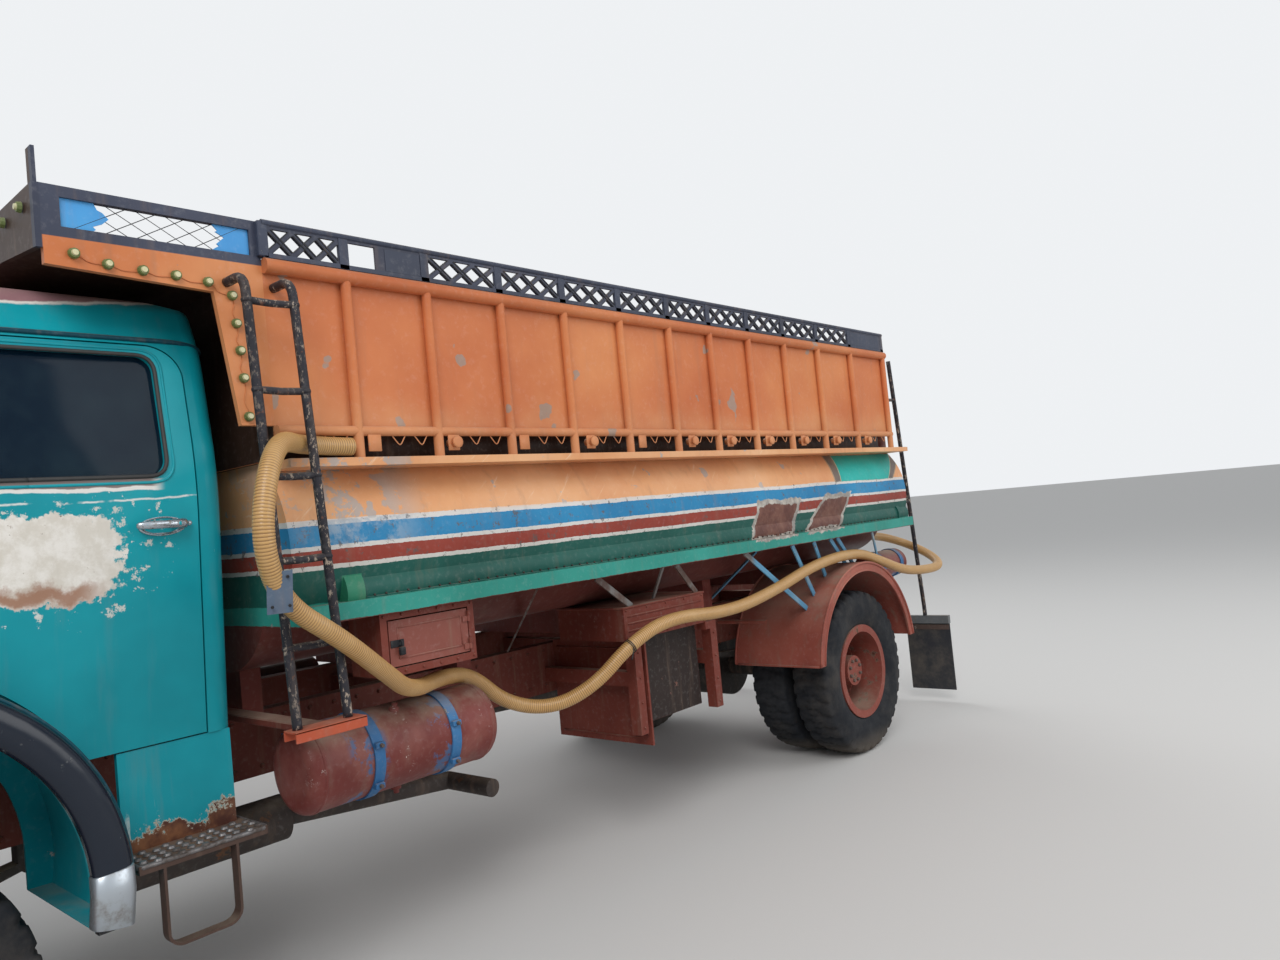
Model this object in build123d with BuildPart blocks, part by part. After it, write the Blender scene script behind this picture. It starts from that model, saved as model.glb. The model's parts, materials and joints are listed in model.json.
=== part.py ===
"""A short-bonnet two-axle water tanker truck, in millimetres.

X points to the truck's left, Y to its rear and Z up. The ground is at Z = 0, and the
origin is under the middle of the truck's length.
"""
import os
from math import atan2, cos, degrees, pi, radians, sin, sqrt, tan

from build123d import *

os.makedirs("parts", exist_ok=True)

# The truck's length, from the front bumper back
front_overhang = 1230
wheelbase = 5100
rear_overhang = 1500

# Small gaps between pieces
seat_gap = 0.3
running_gap = 5.0

# Ladder frame
rail_inner_x = 390
rail_width = 80
rail_height = 250
rail_wall = 8
rail_top = 1030

# Bumpers
front_bumper_depth = 80
front_bumper_half = 1150
front_bumper_z = (560, 790)
rear_bumper_depth = 60
rear_bumper_half = 1150
rear_bar_z = (600, 660)

# Wheels and tyres
tyre_radius = 517
tyre_width = 260
rim_radius = 262
rim_lip = 33
rim_wall = 12
front_wheel_x = 965
rear_outer_x = 1060
dual_spacing = 300
drum_radius = 205
hub_radius = 95
kingpin_x = 800
kingpin_radius = 20
spindle_radius = 34

# Cab
cab_rear_y = -1600
cab_floor_z = 1100
cab_floor_half = 1050
cab_waist_half = 1120
cab_waist_z = 1920
drip_half = 1055
drip_z = 2335
roof_edge_half = 975
roof_edge_z = 2505
roof_top = 2580
cab_wall = 45
cab_corner_radius = 60
door_corner_radius = 110
screen_base_y = -2800
screen_top_y = -2560
screen_top_z = 2450
door_rear_y = -1685
door_front_y = -2595
door_top_z = 2345
window_z = (1925, 2305)
window_rear_y = -1775
glass_thickness = 6
roof_rear = (-2050, roof_top + 5)
roof_front = (-2350, 2565)

# Roundings of the cab across the truck: height, radius
section_roundings = [(roof_edge_z, 90), (drip_z, 500), (cab_waist_z, 1200)]

# Roundings of the cab seen from its side: corner y, corner z, radius
profile_roundings = [(*roof_rear, 900), (*roof_front, 700), (screen_top_y, screen_top_z, 120)]

# Front fender arch
arch_y = -2671
arch_z = 783
arch_radius = 677
arch_opening = 580
fender_wall = 20
fender_inner_half = 605
fender_half = 1195
flare_half = 1225
fender_nose_y = -3600

# Bonnet
bonnet_rear_half = 590
bonnet_front_half = 560
bonnet_rear_z = (1480, 1885)
bonnet_front_z = (1400, 1690)
bonnet_rear_y = screen_base_y - 12
bonnet_front_y = -3640
bonnet_wall = 22

# Tank and its side boards
tank_front_y = -1440
tank_rear_y = 3240
tank_half = 1200
tank_top = 2120
tank_shoulder = (1020, 1990)
tank_widest_z = 1700
tank_shelf_half = 1150
tank_shelf_z = 1397
belly_half = 970
belly_flat_half = 620
tank_bottom = 1235
ledge_z = (1926, 1955)
ledge_half = 1250
flange_z = (1397, 1459)
flange_half = 1235
side_tube_radius = 85
side_tube_x = 1120
side_tube_z = 1487
side_tube_front_y = -1250
side_tube_ring = 9
side_tube_ring_y = [(-1250, -1180), (3070, 3110)]

board_front_y = -1465
board_rear_y = 3050
board_inner_x = tank_half
board_thickness = 12
board_z = (2050, 2600)
post_radius = 19
top_tube_radius = 26
low_tube_radius = 18
lattice_z = (2612, 2744)
lattice_bar = 18
lattice_thickness = 10
lattice_post = 40
crosses = 3
plate_bay = 1
plate_gap = 110
notch_depth = 45
deck_front_y = -2100
deck_z = (2597, 2612)

# Places of the posts along the side boards, from the front back
post_stations = [-1165, -820, -452, -86, 284, 651, 997, 1362, 1738, 2132, 2558, 3030]

# Worked-out places
length = front_overhang + wheelbase + rear_overhang
front_y = -length / 2
rear_y = length / 2
front_axle_y = front_y + front_overhang
rear_axle_y = rear_y - rear_overhang
wheel_z = tyre_radius
rail_outer_x = rail_inner_x + rail_width
rail_bottom = rail_top - rail_height
rail_front_y = front_y + front_bumper_depth
rail_rear_y = rear_y - rear_bumper_depth


def block(x, y, z, mode=Mode.ADD):
    """A box between two values on each axis."""
    with Locations(((x[0] + x[1]) / 2, (y[0] + y[1]) / 2, (z[0] + z[1]) / 2)):
        Box(abs(x[1] - x[0]), abs(y[1] - y[0]), abs(z[1] - z[0]), mode=mode)


def rod(start, end, radius, mode=Mode.ADD):
    """A round bar from one point to another."""
    run = Vector(*end) - Vector(*start)
    with BuildSketch(Plane(origin=start, z_dir=run)) as disc:
        Circle(radius)
    extrude(disc.sketch, amount=run.length, mode=mode)


def plate(points, plane, thickness, mode=Mode.ADD):
    """A flat plate with straight edges, cut from the given plane on to its front."""
    with BuildSketch(plane) as outline:
        with BuildLine():
            Polyline(*points, close=True)
        make_face()
    extrude(outline.sketch, amount=thickness, mode=mode)


def flat_bar(start, end, width, thickness, mode=Mode.ADD):
    """A flat bar from one point to another, its width along Y as far as it can be."""
    run = Vector(*end) - Vector(*start)
    with BuildSketch(Plane(origin=start, x_dir=run.cross(Vector(1, 0, 0)), z_dir=run)) as section:
        Rectangle(width, thickness)
    extrude(section.sketch, amount=run.length, mode=mode)


def finish(part, label):
    """Name a finished piece and write its file."""
    part.label = label
    export_step(part, f"parts/{label}.step")


def side_plane(x):
    """A plane across the truck at x, drawn with Y to the right and Z up."""
    return Plane(origin=(x, 0, 0), x_dir=(0, 1, 0), z_dir=(1, 0, 0))


def cross_plane(y):
    """A plane across the truck at y, drawn with X to the right and Z up, facing the front."""
    return Plane(origin=(0, y, 0), x_dir=(1, 0, 0), z_dir=(0, -1, 0))


# Ladder frame rails: two channels that open towards each other
with BuildPart() as frame_rails:
    for side in (-1, 1):
        outer = (side * rail_inner_x, side * rail_outer_x)
        block(outer, (rail_front_y, rail_rear_y), (rail_bottom, rail_top))
        hollow = (side * rail_inner_x, side * (rail_outer_x - rail_wall))
        block(hollow, (rail_front_y, rail_rear_y),
              (rail_bottom + rail_wall, rail_top - rail_wall), Mode.SUBTRACT)
finish(frame_rails.part, "frame_rails")

# Cross members between the webs, and the blocks that carry the cab and the tank
cross_stations = [-3760, -1480, -350, 850, 1650, 3180, 3780]
cross_depth = 70
cross_height = 120
cross_z = (rail_bottom + rail_top) / 2
cab_mount_stations = [-1990, -1690]
cab_mount_length = 90
bearer_stations = [-1330, -330, 700, 1560, 3050]
bearer_depth = 80
with BuildPart() as cross_members:
    web_x = rail_outer_x - rail_wall
    for y in cross_stations:
        block((-web_x, web_x), (y - cross_depth / 2, y + cross_depth / 2),
              (cross_z - cross_height / 2, cross_z + cross_height / 2))
    for y in cab_mount_stations:
        for side in (-1, 1):
            block((side * rail_inner_x, side * rail_outer_x),
                  (y - cab_mount_length / 2, y + cab_mount_length / 2), (rail_top, cab_floor_z))
finish(cross_members.part, "cross_members")

# Tank bearers: cross beams on the rails under the tank's flat belly
with BuildPart() as tank_bearers:
    for y in bearer_stations:
        block((-belly_flat_half, belly_flat_half), (y - bearer_depth / 2, y + bearer_depth / 2),
              (rail_top, tank_bottom))
finish(tank_bearers.part, "tank_bearers")

# Front bumper: a pressed beam with its ends turned back, on two brackets
bumper_end_length = 260
bumper_wall = 10
bumper_bracket_z = (front_bumper_z[0] + 60, rail_top - 40)
with BuildPart() as front_bumper:
    with BuildSketch(Plane.XY.offset(front_bumper_z[0])) as bumper_plan:
        with BuildLine():
            end_y = front_y + bumper_end_length
            Polyline((-front_bumper_half, end_y), (-front_bumper_half, front_y), (front_bumper_half, front_y),
                     (front_bumper_half, end_y), (front_bumper_half - bumper_wall, end_y),
                     (front_bumper_half - bumper_wall, front_y + bumper_wall),
                     (-front_bumper_half + bumper_wall, front_y + bumper_wall),
                     (-front_bumper_half + bumper_wall, end_y), close=True)
        make_face()
        corners = bumper_plan.vertices().filter_by(lambda v: v.Y < front_y + 1)
        fillet(corners, radius=90)
        inner = bumper_plan.vertices().filter_by(lambda v: front_y + 1 < v.Y < front_y + bumper_wall + 1)
        fillet(inner, radius=90 - bumper_wall)
    extrude(amount=front_bumper_z[1] - front_bumper_z[0])
    for side in (-1, 1):
        block((side * rail_inner_x, side * rail_outer_x), (front_y + bumper_wall, rail_front_y),
              bumper_bracket_z)
finish(front_bumper.part, "front_bumper")

# Engine with its gearbox as one plain block on two feet, and the radiator in front of it
engine_half = 290
engine_y = (-3330, -2330)
engine_z = (700, 1340)
gearbox_half = 170
gearbox_y = (-2330, -1760)
gearbox_z = (720, 1020)
engine_foot_length = 90
radiator_half = 340
radiator_y = (-3500, -3420)
radiator_z = (rail_top, 1400)
with BuildPart() as engine_block:
    block((-engine_half, engine_half), engine_y, engine_z)
    block((-gearbox_half, gearbox_half), gearbox_y, gearbox_z)
    for y in (engine_y[0] + engine_foot_length, engine_y[1] - engine_foot_length):
        block((-rail_outer_x, rail_outer_x), (y - engine_foot_length / 2, y + engine_foot_length / 2),
              (rail_top, rail_top + 25))
    block((-radiator_half, radiator_half), radiator_y, radiator_z)
    block((-rail_outer_x, rail_outer_x), radiator_y, (rail_top, rail_top + 25))
finish(engine_block.part, "engine_block")

# Leaf springs: arched packs on the axles, hung from brackets under the rails
spring_width = 70
spring_thickness = 70
spring_half_length = 640
spring_eye_radius = 28
hanger_width = 60
rear_spring_x = 435
front_beam_top = wheel_z + 43
rear_housing_radius = 62
rear_pad_top = wheel_z + 90
with BuildPart() as leaf_springs:
    for axle_y, seat_z in ((front_axle_y, front_beam_top), (rear_axle_y, rear_pad_top)):
        eye_z = rail_bottom - 70
        for side in (-1, 1):
            x_low = side * rear_spring_x - spring_width / 2
            with BuildSketch(side_plane(x_low)) as pack:
                with BuildLine():
                    low_left = (axle_y - spring_half_length, eye_z - 12)
                    low_right = (axle_y + spring_half_length, eye_z - 12)
                    top_left = (axle_y - spring_half_length, eye_z + 12)
                    top_right = (axle_y + spring_half_length, eye_z + 12)
                    pad = 90
                    Polyline(low_left, (axle_y - pad, seat_z), (axle_y + pad, seat_z), low_right,
                             top_right, (axle_y + pad, seat_z + spring_thickness),
                             (axle_y - pad, seat_z + spring_thickness), top_left, close=True)
                make_face()
            extrude(pack.sketch, amount=spring_width)
            for end in (-1, 1):
                eye_y = axle_y + end * spring_half_length
                rod((x_low, eye_y, eye_z), (x_low + spring_width, eye_y, eye_z), spring_eye_radius)
                block((x_low, x_low + spring_width), (eye_y - hanger_width / 2, eye_y + hanger_width / 2),
                      (eye_z, rail_bottom))
finish(leaf_springs.part, "leaf_springs")

# Front axle: a forged beam with a bored boss for the kingpin at each end
beam_depth = 90
beam_height = 85
boss_radius = 42
boss_half_height = 75
with BuildPart() as front_axle_beam:
    beam_z = (front_beam_top - beam_height, front_beam_top)
    block((-kingpin_x, kingpin_x), (front_axle_y - beam_depth / 2, front_axle_y + beam_depth / 2), beam_z)
    for side in (-1, 1):
        rod((side * kingpin_x, front_axle_y, wheel_z - boss_half_height),
            (side * kingpin_x, front_axle_y, wheel_z + boss_half_height), boss_radius)
        block((side * kingpin_x, side * (kingpin_x + 60)), (front_axle_y - 60, front_axle_y + 60),
              (wheel_z - 100, wheel_z - boss_half_height), Mode.SUBTRACT)
    for side in (-1, 1):
        rod((side * kingpin_x, front_axle_y, wheel_z - 200), (side * kingpin_x, front_axle_y, wheel_z + 200),
            kingpin_radius + seat_gap, Mode.SUBTRACT)
finish(front_axle_beam.part, "front_axle_beam")

# Steering knuckles: a fork round the kingpin boss, a backing plate and the spindle
fork_gap = 1.0
ear_thickness = 28
fork_plate_x = boss_radius + 12
fork_plate_thickness = 22
backing_radius = 205
backing_thickness = 6
spindle_end_x = 1090
drum_inner_x = kingpin_x + fork_plate_x + fork_plate_thickness + backing_thickness + running_gap
for side, name in ((1, "left"), (-1, "right")):
    with BuildPart() as knuckle:
        x0 = kingpin_x + fork_plate_x
        x1 = x0 + fork_plate_thickness
        ear_top = wheel_z + boss_half_height + fork_gap + ear_thickness
        ear_low = wheel_z - boss_half_height - fork_gap - ear_thickness
        for low, high in ((ear_low, ear_low + ear_thickness), (ear_top - ear_thickness, ear_top)):
            rod((side * kingpin_x, front_axle_y, low), (side * kingpin_x, front_axle_y, high), boss_radius)
            block((side * kingpin_x, side * x1), (front_axle_y - boss_radius, front_axle_y + boss_radius),
                  (low, high))
        block((side * x0, side * x1), (front_axle_y - boss_radius, front_axle_y + boss_radius),
              (ear_low, ear_top))
        rod((side * kingpin_x, front_axle_y, ear_low), (side * kingpin_x, front_axle_y, ear_top),
            kingpin_radius)
        rod((side * x1, front_axle_y, wheel_z), (side * (x1 + backing_thickness), front_axle_y, wheel_z),
            backing_radius)
        rod((side * x1, front_axle_y, wheel_z), (side * spindle_end_x, front_axle_y, wheel_z),
            spindle_radius)
    finish(knuckle.part, f"knuckle_{name}")

# Front wheels: rim, dished disc, brake drum and hub in one, on the spindle
disc_wall = 12
hub_cap_x = front_wheel_x + tyre_width / 2 + 30
rim_half = tyre_width / 2 - 18
for side, name in ((1, "left"), (-1, "right")):
    with BuildPart() as front_wheel:
        centre = (0, front_axle_y, wheel_z)
        rim_x = (front_wheel_x - rim_half, front_wheel_x + rim_half)
        rod((side * rim_x[0], *centre[1:]), (side * rim_x[1], *centre[1:]), rim_radius)
        rod((side * rim_x[0], *centre[1:]), (side * rim_x[1], *centre[1:]), rim_radius - rim_wall,
            Mode.SUBTRACT)
        for edge in rim_x:
            inward = rim_wall if edge < front_wheel_x else -rim_wall
            rod((side * edge, *centre[1:]), (side * (edge + inward), *centre[1:]), rim_radius + rim_lip)
            rod((side * edge, *centre[1:]), (side * (edge + inward), *centre[1:]),
                rim_radius - rim_wall, Mode.SUBTRACT)
        disc_x = (rim_x[1] - disc_wall - 14, rim_x[1] - 14)
        rod((side * disc_x[0], *centre[1:]), (side * disc_x[1], *centre[1:]), rim_radius - 2)
        rod((side * drum_inner_x, *centre[1:]), (side * disc_x[1], *centre[1:]), drum_radius)
        rod((side * drum_inner_x, *centre[1:]), (side * (disc_x[0] - 30), *centre[1:]),
            drum_radius - 12, Mode.SUBTRACT)
        rod((side * (drum_inner_x + 20), *centre[1:]), (side * hub_cap_x, *centre[1:]), hub_radius)
        rod((side * drum_inner_x, *centre[1:]), (side * (spindle_end_x + 2), *centre[1:]),
            spindle_radius + seat_gap, Mode.SUBTRACT)
    finish(front_wheel.part, f"front_wheel_{name}")


def tyre_ring(x, axle_y):
    """One tyre: a revolved section with rounded shoulders, centred at x."""
    half = tyre_width / 2
    bead = rim_half - rim_wall - seat_gap
    inner = rim_radius + seat_gap
    above_lip = rim_radius + rim_lip + 2
    with BuildSketch(Plane(origin=(x, axle_y, wheel_z), x_dir=(1, 0, 0), z_dir=(0, -1, 0))) as section:
        with BuildLine():
            Polyline((-bead, inner), (bead, inner), (bead, above_lip), (half, above_lip + 62),
                     (half, tyre_radius - 75), (half - 14, tyre_radius - 16), (half - 34, tyre_radius),
                     (-half + 34, tyre_radius), (-half + 14, tyre_radius - 16), (-half, tyre_radius - 75),
                     (-half, above_lip + 62), (-bead, above_lip), close=True)
        make_face()
    revolve(section.sketch, axis=Axis((x, axle_y, wheel_z), (1, 0, 0)))


for side, name in ((1, "left"), (-1, "right")):
    with BuildPart() as front_tyre:
        tyre_ring(side * front_wheel_x, front_axle_y)
    finish(front_tyre.part, f"front_tyre_{name}")

# Rear twin wheels: two dished discs back to back on one hub with its drum
rear_inner_x = rear_outer_x - dual_spacing
dual_mid_x = (rear_outer_x + rear_inner_x) / 2
rear_hub_x = 1105
rear_drum_inner_x = rear_inner_x - rim_half + 20
axle_shaft_radius = 40
for side, name in ((1, "left"), (-1, "right")):
    with BuildPart() as rear_wheels:
        for x in (rear_inner_x, rear_outer_x):
            ends = (x - rim_half, x + rim_half)
            rod((side * ends[0], rear_axle_y, wheel_z), (side * ends[1], rear_axle_y, wheel_z), rim_radius)
            for edge, inward in ((ends[0], rim_wall), (ends[1], -rim_wall)):
                rod((side * edge, rear_axle_y, wheel_z), (side * (edge + inward), rear_axle_y, wheel_z),
                    rim_radius + rim_lip)
        bore_x = (rear_inner_x - rim_half - 1, rear_outer_x + rim_half + 1)
        rod((side * bore_x[0], rear_axle_y, wheel_z), (side * bore_x[1], rear_axle_y, wheel_z),
            rim_radius - rim_wall, Mode.SUBTRACT)
        rod((side * (dual_mid_x - disc_wall), rear_axle_y, wheel_z),
            (side * (dual_mid_x + disc_wall), rear_axle_y, wheel_z), rim_radius - 2)
        for face in (-1, 1):
            near = dual_mid_x + face * disc_wall
            far = dual_mid_x + face * (dual_spacing / 2 - rim_half + 12)
            rod((side * near, rear_axle_y, wheel_z), (side * far, rear_axle_y, wheel_z), rim_radius - 2)
            rod((side * near, rear_axle_y, wheel_z), (side * far, rear_axle_y, wheel_z),
                rim_radius - rim_wall - 8, Mode.SUBTRACT)
        rod((side * rear_drum_inner_x, rear_axle_y, wheel_z), (side * dual_mid_x, rear_axle_y, wheel_z),
            drum_radius)
        rod((side * dual_mid_x, rear_axle_y, wheel_z), (side * rear_hub_x, rear_axle_y, wheel_z), hub_radius)
        rod((side * (rear_drum_inner_x - 1), rear_axle_y, wheel_z),
            (side * (rear_drum_inner_x + 60), rear_axle_y, wheel_z), axle_shaft_radius + seat_gap,
            Mode.SUBTRACT)
    finish(rear_wheels.part, f"rear_wheels_{name}")
    with BuildPart() as rear_tyres:
        for x in (rear_inner_x, rear_outer_x):
            tyre_ring(side * x, rear_axle_y)
    finish(rear_tyres.part, f"rear_tyres_{name}")

# Rear axle: a tube with the round differential housing and a seat for each spring
differential_radius = 205
differential_half = 130
axle_tube_end = rear_drum_inner_x - running_gap
with BuildPart() as rear_axle_housing:
    rod((-axle_tube_end, rear_axle_y, wheel_z), (axle_tube_end, rear_axle_y, wheel_z), rear_housing_radius)
    for side in (-1, 1):
        rod((side * axle_tube_end, rear_axle_y, wheel_z),
            (side * (rear_drum_inner_x + 50), rear_axle_y, wheel_z), axle_shaft_radius)
        block((side * (rear_spring_x - 45), side * (rear_spring_x + 45)),
              (rear_axle_y - 60, rear_axle_y + 60), (wheel_z, rear_pad_top))
    rod((-differential_half, rear_axle_y, wheel_z), (differential_half, rear_axle_y, wheel_z),
        differential_radius)
finish(rear_axle_housing.part, "rear_axle_housing")

# Propeller shaft from the gearbox to the rear axle
shaft_radius = 45
yoke_radius = 55
yoke_length = 70
with BuildPart() as propshaft:
    shaft_start = (0, gearbox_y[1] + yoke_length, 800)
    shaft_end = (0, rear_axle_y - differential_radius - yoke_length, wheel_z + 60)
    rod((0, gearbox_y[1] + seat_gap, shaft_start[2]), (0, shaft_start[1] + 10, shaft_start[2]), yoke_radius)
    rod((0, shaft_end[1] - 10, shaft_end[2]), (0, shaft_end[1] + yoke_length - 12, shaft_end[2]), yoke_radius)
    rod(shaft_start, shaft_end, shaft_radius)
finish(propshaft.part, "propshaft")


def cab_section(inset):
    """The cab's outline across the truck, drawn in from the outside by inset."""
    half_points = [(cab_floor_half, cab_floor_z), (cab_waist_half, cab_waist_z), (drip_half, drip_z),
                   (roof_edge_half, roof_edge_z)]
    with BuildSketch(cross_plane(0)) as section:
        with BuildLine():
            Polyline(*half_points)
            ThreePointArc((roof_edge_half, roof_edge_z), (0, roof_top), (-roof_edge_half, roof_edge_z))
            Polyline(*[(-x, z) for x, z in reversed(half_points)])
            Line((-cab_floor_half, cab_floor_z), (cab_floor_half, cab_floor_z))
        make_face()
        for z, radius in section_roundings:
            fillet(section.vertices().filter_by(lambda v: abs(v.Y - z) < 1), radius=radius)
        if inset:
            offset(amount=-inset, mode=Mode.REPLACE)
    return section.sketch


floor_arch_radius = arch_radius + 23
firewall_y = screen_base_y
firewall_z = arch_z + sqrt(floor_arch_radius**2 - (firewall_y + 60 - arch_y)**2)
floor_start_y = arch_y + sqrt(floor_arch_radius**2 - (cab_floor_z - arch_z)**2)


def cab_profile(inset):
    """The cab's outline seen from its side, with the floor arched over the front wheel."""
    with BuildSketch(side_plane(0)) as profile:
        with BuildLine():
            Polyline((floor_start_y, cab_floor_z), (cab_rear_y, cab_floor_z), (cab_rear_y, 2470),
                     roof_rear, roof_front, (screen_top_y, screen_top_z),
                     (screen_base_y, cab_waist_z - 20), (firewall_y, firewall_z),
                     (firewall_y + 60, firewall_z))
            ThreePointArc((firewall_y + 60, firewall_z),
                          (arch_y + floor_arch_radius * sin(radians(30)),
                           arch_z + floor_arch_radius * cos(radians(30))),
                          (floor_start_y, cab_floor_z))
        make_face()
        for y, z, radius in profile_roundings:
            fillet(profile.vertices().filter_by(lambda v: abs(v.X - y) < 1 and abs(v.Y - z) < 1),
                   radius=radius)
        if inset:
            offset(amount=-inset, mode=Mode.REPLACE)
    return profile.sketch


def cab_form(inset):
    """The closed form of the cab, smaller all round by inset."""
    extrude(cab_section(inset), amount=3000, both=True)
    extrude(cab_profile(inset), amount=1500, both=True, mode=Mode.INTERSECT)


def door_outline(gap):
    """The door's outline seen from the side, drawn in by gap, with its corner cut by the arch."""
    with BuildSketch(side_plane(0)) as outline:
        with BuildLine():
            corner_z = arch_z + sqrt(floor_arch_radius**2 - (door_front_y - arch_y)**2)
            Polyline((floor_start_y, cab_floor_z), (door_rear_y, cab_floor_z), (door_rear_y, door_top_z),
                     (door_front_y + 125, door_top_z), (door_front_y, cab_waist_z),
                     (door_front_y, corner_z))
            ThreePointArc((door_front_y, corner_z),
                          (arch_y + floor_arch_radius * sin(radians(35)),
                           arch_z + floor_arch_radius * cos(radians(35))),
                          (floor_start_y, cab_floor_z))
        make_face()
        fillet(outline.vertices().filter_by(lambda v: abs(v.X - door_rear_y) < 1 and v.Y > drip_z),
               radius=door_corner_radius)
        if gap:
            offset(amount=-gap, mode=Mode.REPLACE)
    return outline.sketch


def window_outline(gap):
    """The door's window seen from the side, drawn in by gap."""
    with BuildSketch(side_plane(0)) as outline:
        with BuildLine():
            Polyline((window_rear_y, window_z[0]), (window_rear_y, window_z[1]),
                     (door_front_y + 185, window_z[1]), (door_front_y + 75, window_z[0]), close=True)
        make_face()
        fillet(outline.vertices(), radius=50)
        if gap:
            offset(amount=-gap, mode=Mode.REPLACE)
    return outline.sketch


# Cab shell: floor, back, roof, pillars and cowl, with the doors' and windows' openings
screen_half = 930
screen_z = (1975, 2400)
back_window_half = 480
back_window_z = (1930, 2280)
hinge_x = 1136
hinge_y = door_front_y - 4
hinge_leaf_x = 1124
bonnet_hinge_y = firewall_y - 6
bonnet_hinge_z = 1893
bonnet_hinge_radius = 5.5
bonnet_lug_half = 20
hinge_radius = 9
hinge_stations = [1540, 1800]
hinge_length = 70
door_gap = 5
door_inner_x = cab_floor_half - cab_wall
with BuildPart() as cab_space:
    cab_form(cab_wall)

with BuildPart() as door_way:
    extrude(door_outline(0), amount=1300)
    extrude(cab_section(cab_wall + door_gap), amount=3000, both=True, mode=Mode.SUBTRACT)
    block((0, door_inner_x - door_gap), (-3000, 0), (0, 3000), Mode.SUBTRACT)

with BuildPart() as cab_shell:
    cab_form(0)
    back = cab_shell.faces().sort_by(Axis.Y)[-1]
    fillet([edge for edge in back.edges() if abs(edge.center().X) > back_window_half
            and edge.center().Z < roof_edge_z], radius=cab_corner_radius)
    add(cab_space.part, mode=Mode.SUBTRACT)
    for side in (-1, 1):
        add(door_way.part if side > 0 else mirror(door_way.part, about=Plane.YZ, mode=Mode.PRIVATE),
            mode=Mode.SUBTRACT)
    with BuildSketch(cross_plane(-2300)) as screen_cut:
        with Locations((0, (screen_z[0] + screen_z[1]) / 2)):
            RectangleRounded(2 * screen_half, screen_z[1] - screen_z[0], 70)
    extrude(screen_cut.sketch, amount=700, mode=Mode.SUBTRACT)
    with BuildSketch(cross_plane(cab_rear_y + 50)) as back_cut:
        with Locations((0, (back_window_z[0] + back_window_z[1]) / 2)):
            RectangleRounded(2 * back_window_half, back_window_z[1] - back_window_z[0], 60)
    extrude(back_cut.sketch, amount=150, mode=Mode.SUBTRACT)
    for side in (-1, 1):
        for z in hinge_stations:
            lug_z = (z + hinge_length + seat_gap, z + hinge_length + 30)
            block((side * (cab_floor_half + 15), side * hinge_x), (hinge_y - 45, hinge_y), lug_z)
            rod((side * hinge_x, hinge_y, lug_z[0]), (side * hinge_x, hinge_y, lug_z[1]), hinge_radius)
    rod((-bonnet_lug_half, bonnet_hinge_y, bonnet_hinge_z), (bonnet_lug_half, bonnet_hinge_y, bonnet_hinge_z),
        bonnet_hinge_radius)
    block((-bonnet_lug_half, bonnet_lug_half), (bonnet_hinge_y, firewall_y + 5),
          (bonnet_hinge_z - 5, bonnet_hinge_z + 5))
finish(cab_shell.part, "cab_shell")

# Doors: the whole side wall of the cab, with a window, a hinge edge and a pull handle
handle_y = (-1860, -1760)
handle_x = 1145
handle_z = 1771
with BuildPart() as left_door_form:
    extrude(door_outline(door_gap), amount=1300)
    extrude(cab_section(0), amount=3000, both=True, mode=Mode.INTERSECT)
    extrude(cab_section(cab_wall), amount=3000, both=True, mode=Mode.SUBTRACT)
    block((0, door_inner_x), (-3000, 0), (0, 3000), Mode.SUBTRACT)

with BuildPart() as door_left:
    add(left_door_form.part)
    extrude(window_outline(0), amount=1300, mode=Mode.SUBTRACT)
    for z in hinge_stations:
        block((cab_floor_half + 15, hinge_leaf_x), (door_front_y + door_gap, door_front_y + 45),
              (z, z + hinge_length))
        block((hinge_leaf_x - 1, hinge_x), (hinge_y, door_front_y + 45), (z, z + hinge_length))
        rod((hinge_x, hinge_y, z), (hinge_x, hinge_y, z + hinge_length), hinge_radius)
    extrude(cab_section(cab_wall), amount=3000, both=True, mode=Mode.SUBTRACT)
    rod((handle_x - 60, handle_y[1] - 15, handle_z), (handle_x, handle_y[1] - 15, handle_z), 8)
    rod((handle_x, handle_y[0], handle_z), (handle_x, handle_y[1], handle_z), 9)
with BuildPart() as door_right:
    add(mirror(door_left.part, about=Plane.YZ, mode=Mode.PRIVATE))
finish(door_left.part, "door_left")
finish(door_right.part, "door_right")

# Door glass: set in the middle of the door's thickness
with BuildPart() as door_glass_left:
    extrude(window_outline(seat_gap), amount=1300)
    extrude(cab_section(cab_wall / 2 - glass_thickness / 2), amount=3000, both=True, mode=Mode.INTERSECT)
    extrude(cab_section(cab_wall / 2 + glass_thickness / 2), amount=3000, both=True, mode=Mode.SUBTRACT)
with BuildPart() as door_glass_right:
    add(mirror(door_glass_left.part, about=Plane.YZ, mode=Mode.PRIVATE))
finish(door_glass_left.part, "door_glass_left")
finish(door_glass_right.part, "door_glass_right")

# Windscreen and back window: panes in the middle of the cab's wall
with BuildPart() as cab_glass:
    with BuildSketch(cross_plane(-2300)) as screen_pane:
        with Locations((0, (screen_z[0] + screen_z[1]) / 2)):
            RectangleRounded(2 * (screen_half - seat_gap), screen_z[1] - screen_z[0] - 2 * seat_gap, 70)
    extrude(screen_pane.sketch, amount=700)
    with BuildSketch(cross_plane(cab_rear_y + 50)) as back_pane:
        with Locations((0, (back_window_z[0] + back_window_z[1]) / 2)):
            RectangleRounded(2 * (back_window_half - seat_gap),
                             back_window_z[1] - back_window_z[0] - 2 * seat_gap, 60)
    extrude(back_pane.sketch, amount=150)
    extrude(cab_profile(cab_wall / 2 - glass_thickness / 2), amount=1500, both=True, mode=Mode.INTERSECT)
    extrude(cab_profile(cab_wall / 2 + glass_thickness / 2), amount=1500, both=True, mode=Mode.SUBTRACT)
finish(cab_glass.part, "cab_glass")

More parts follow.
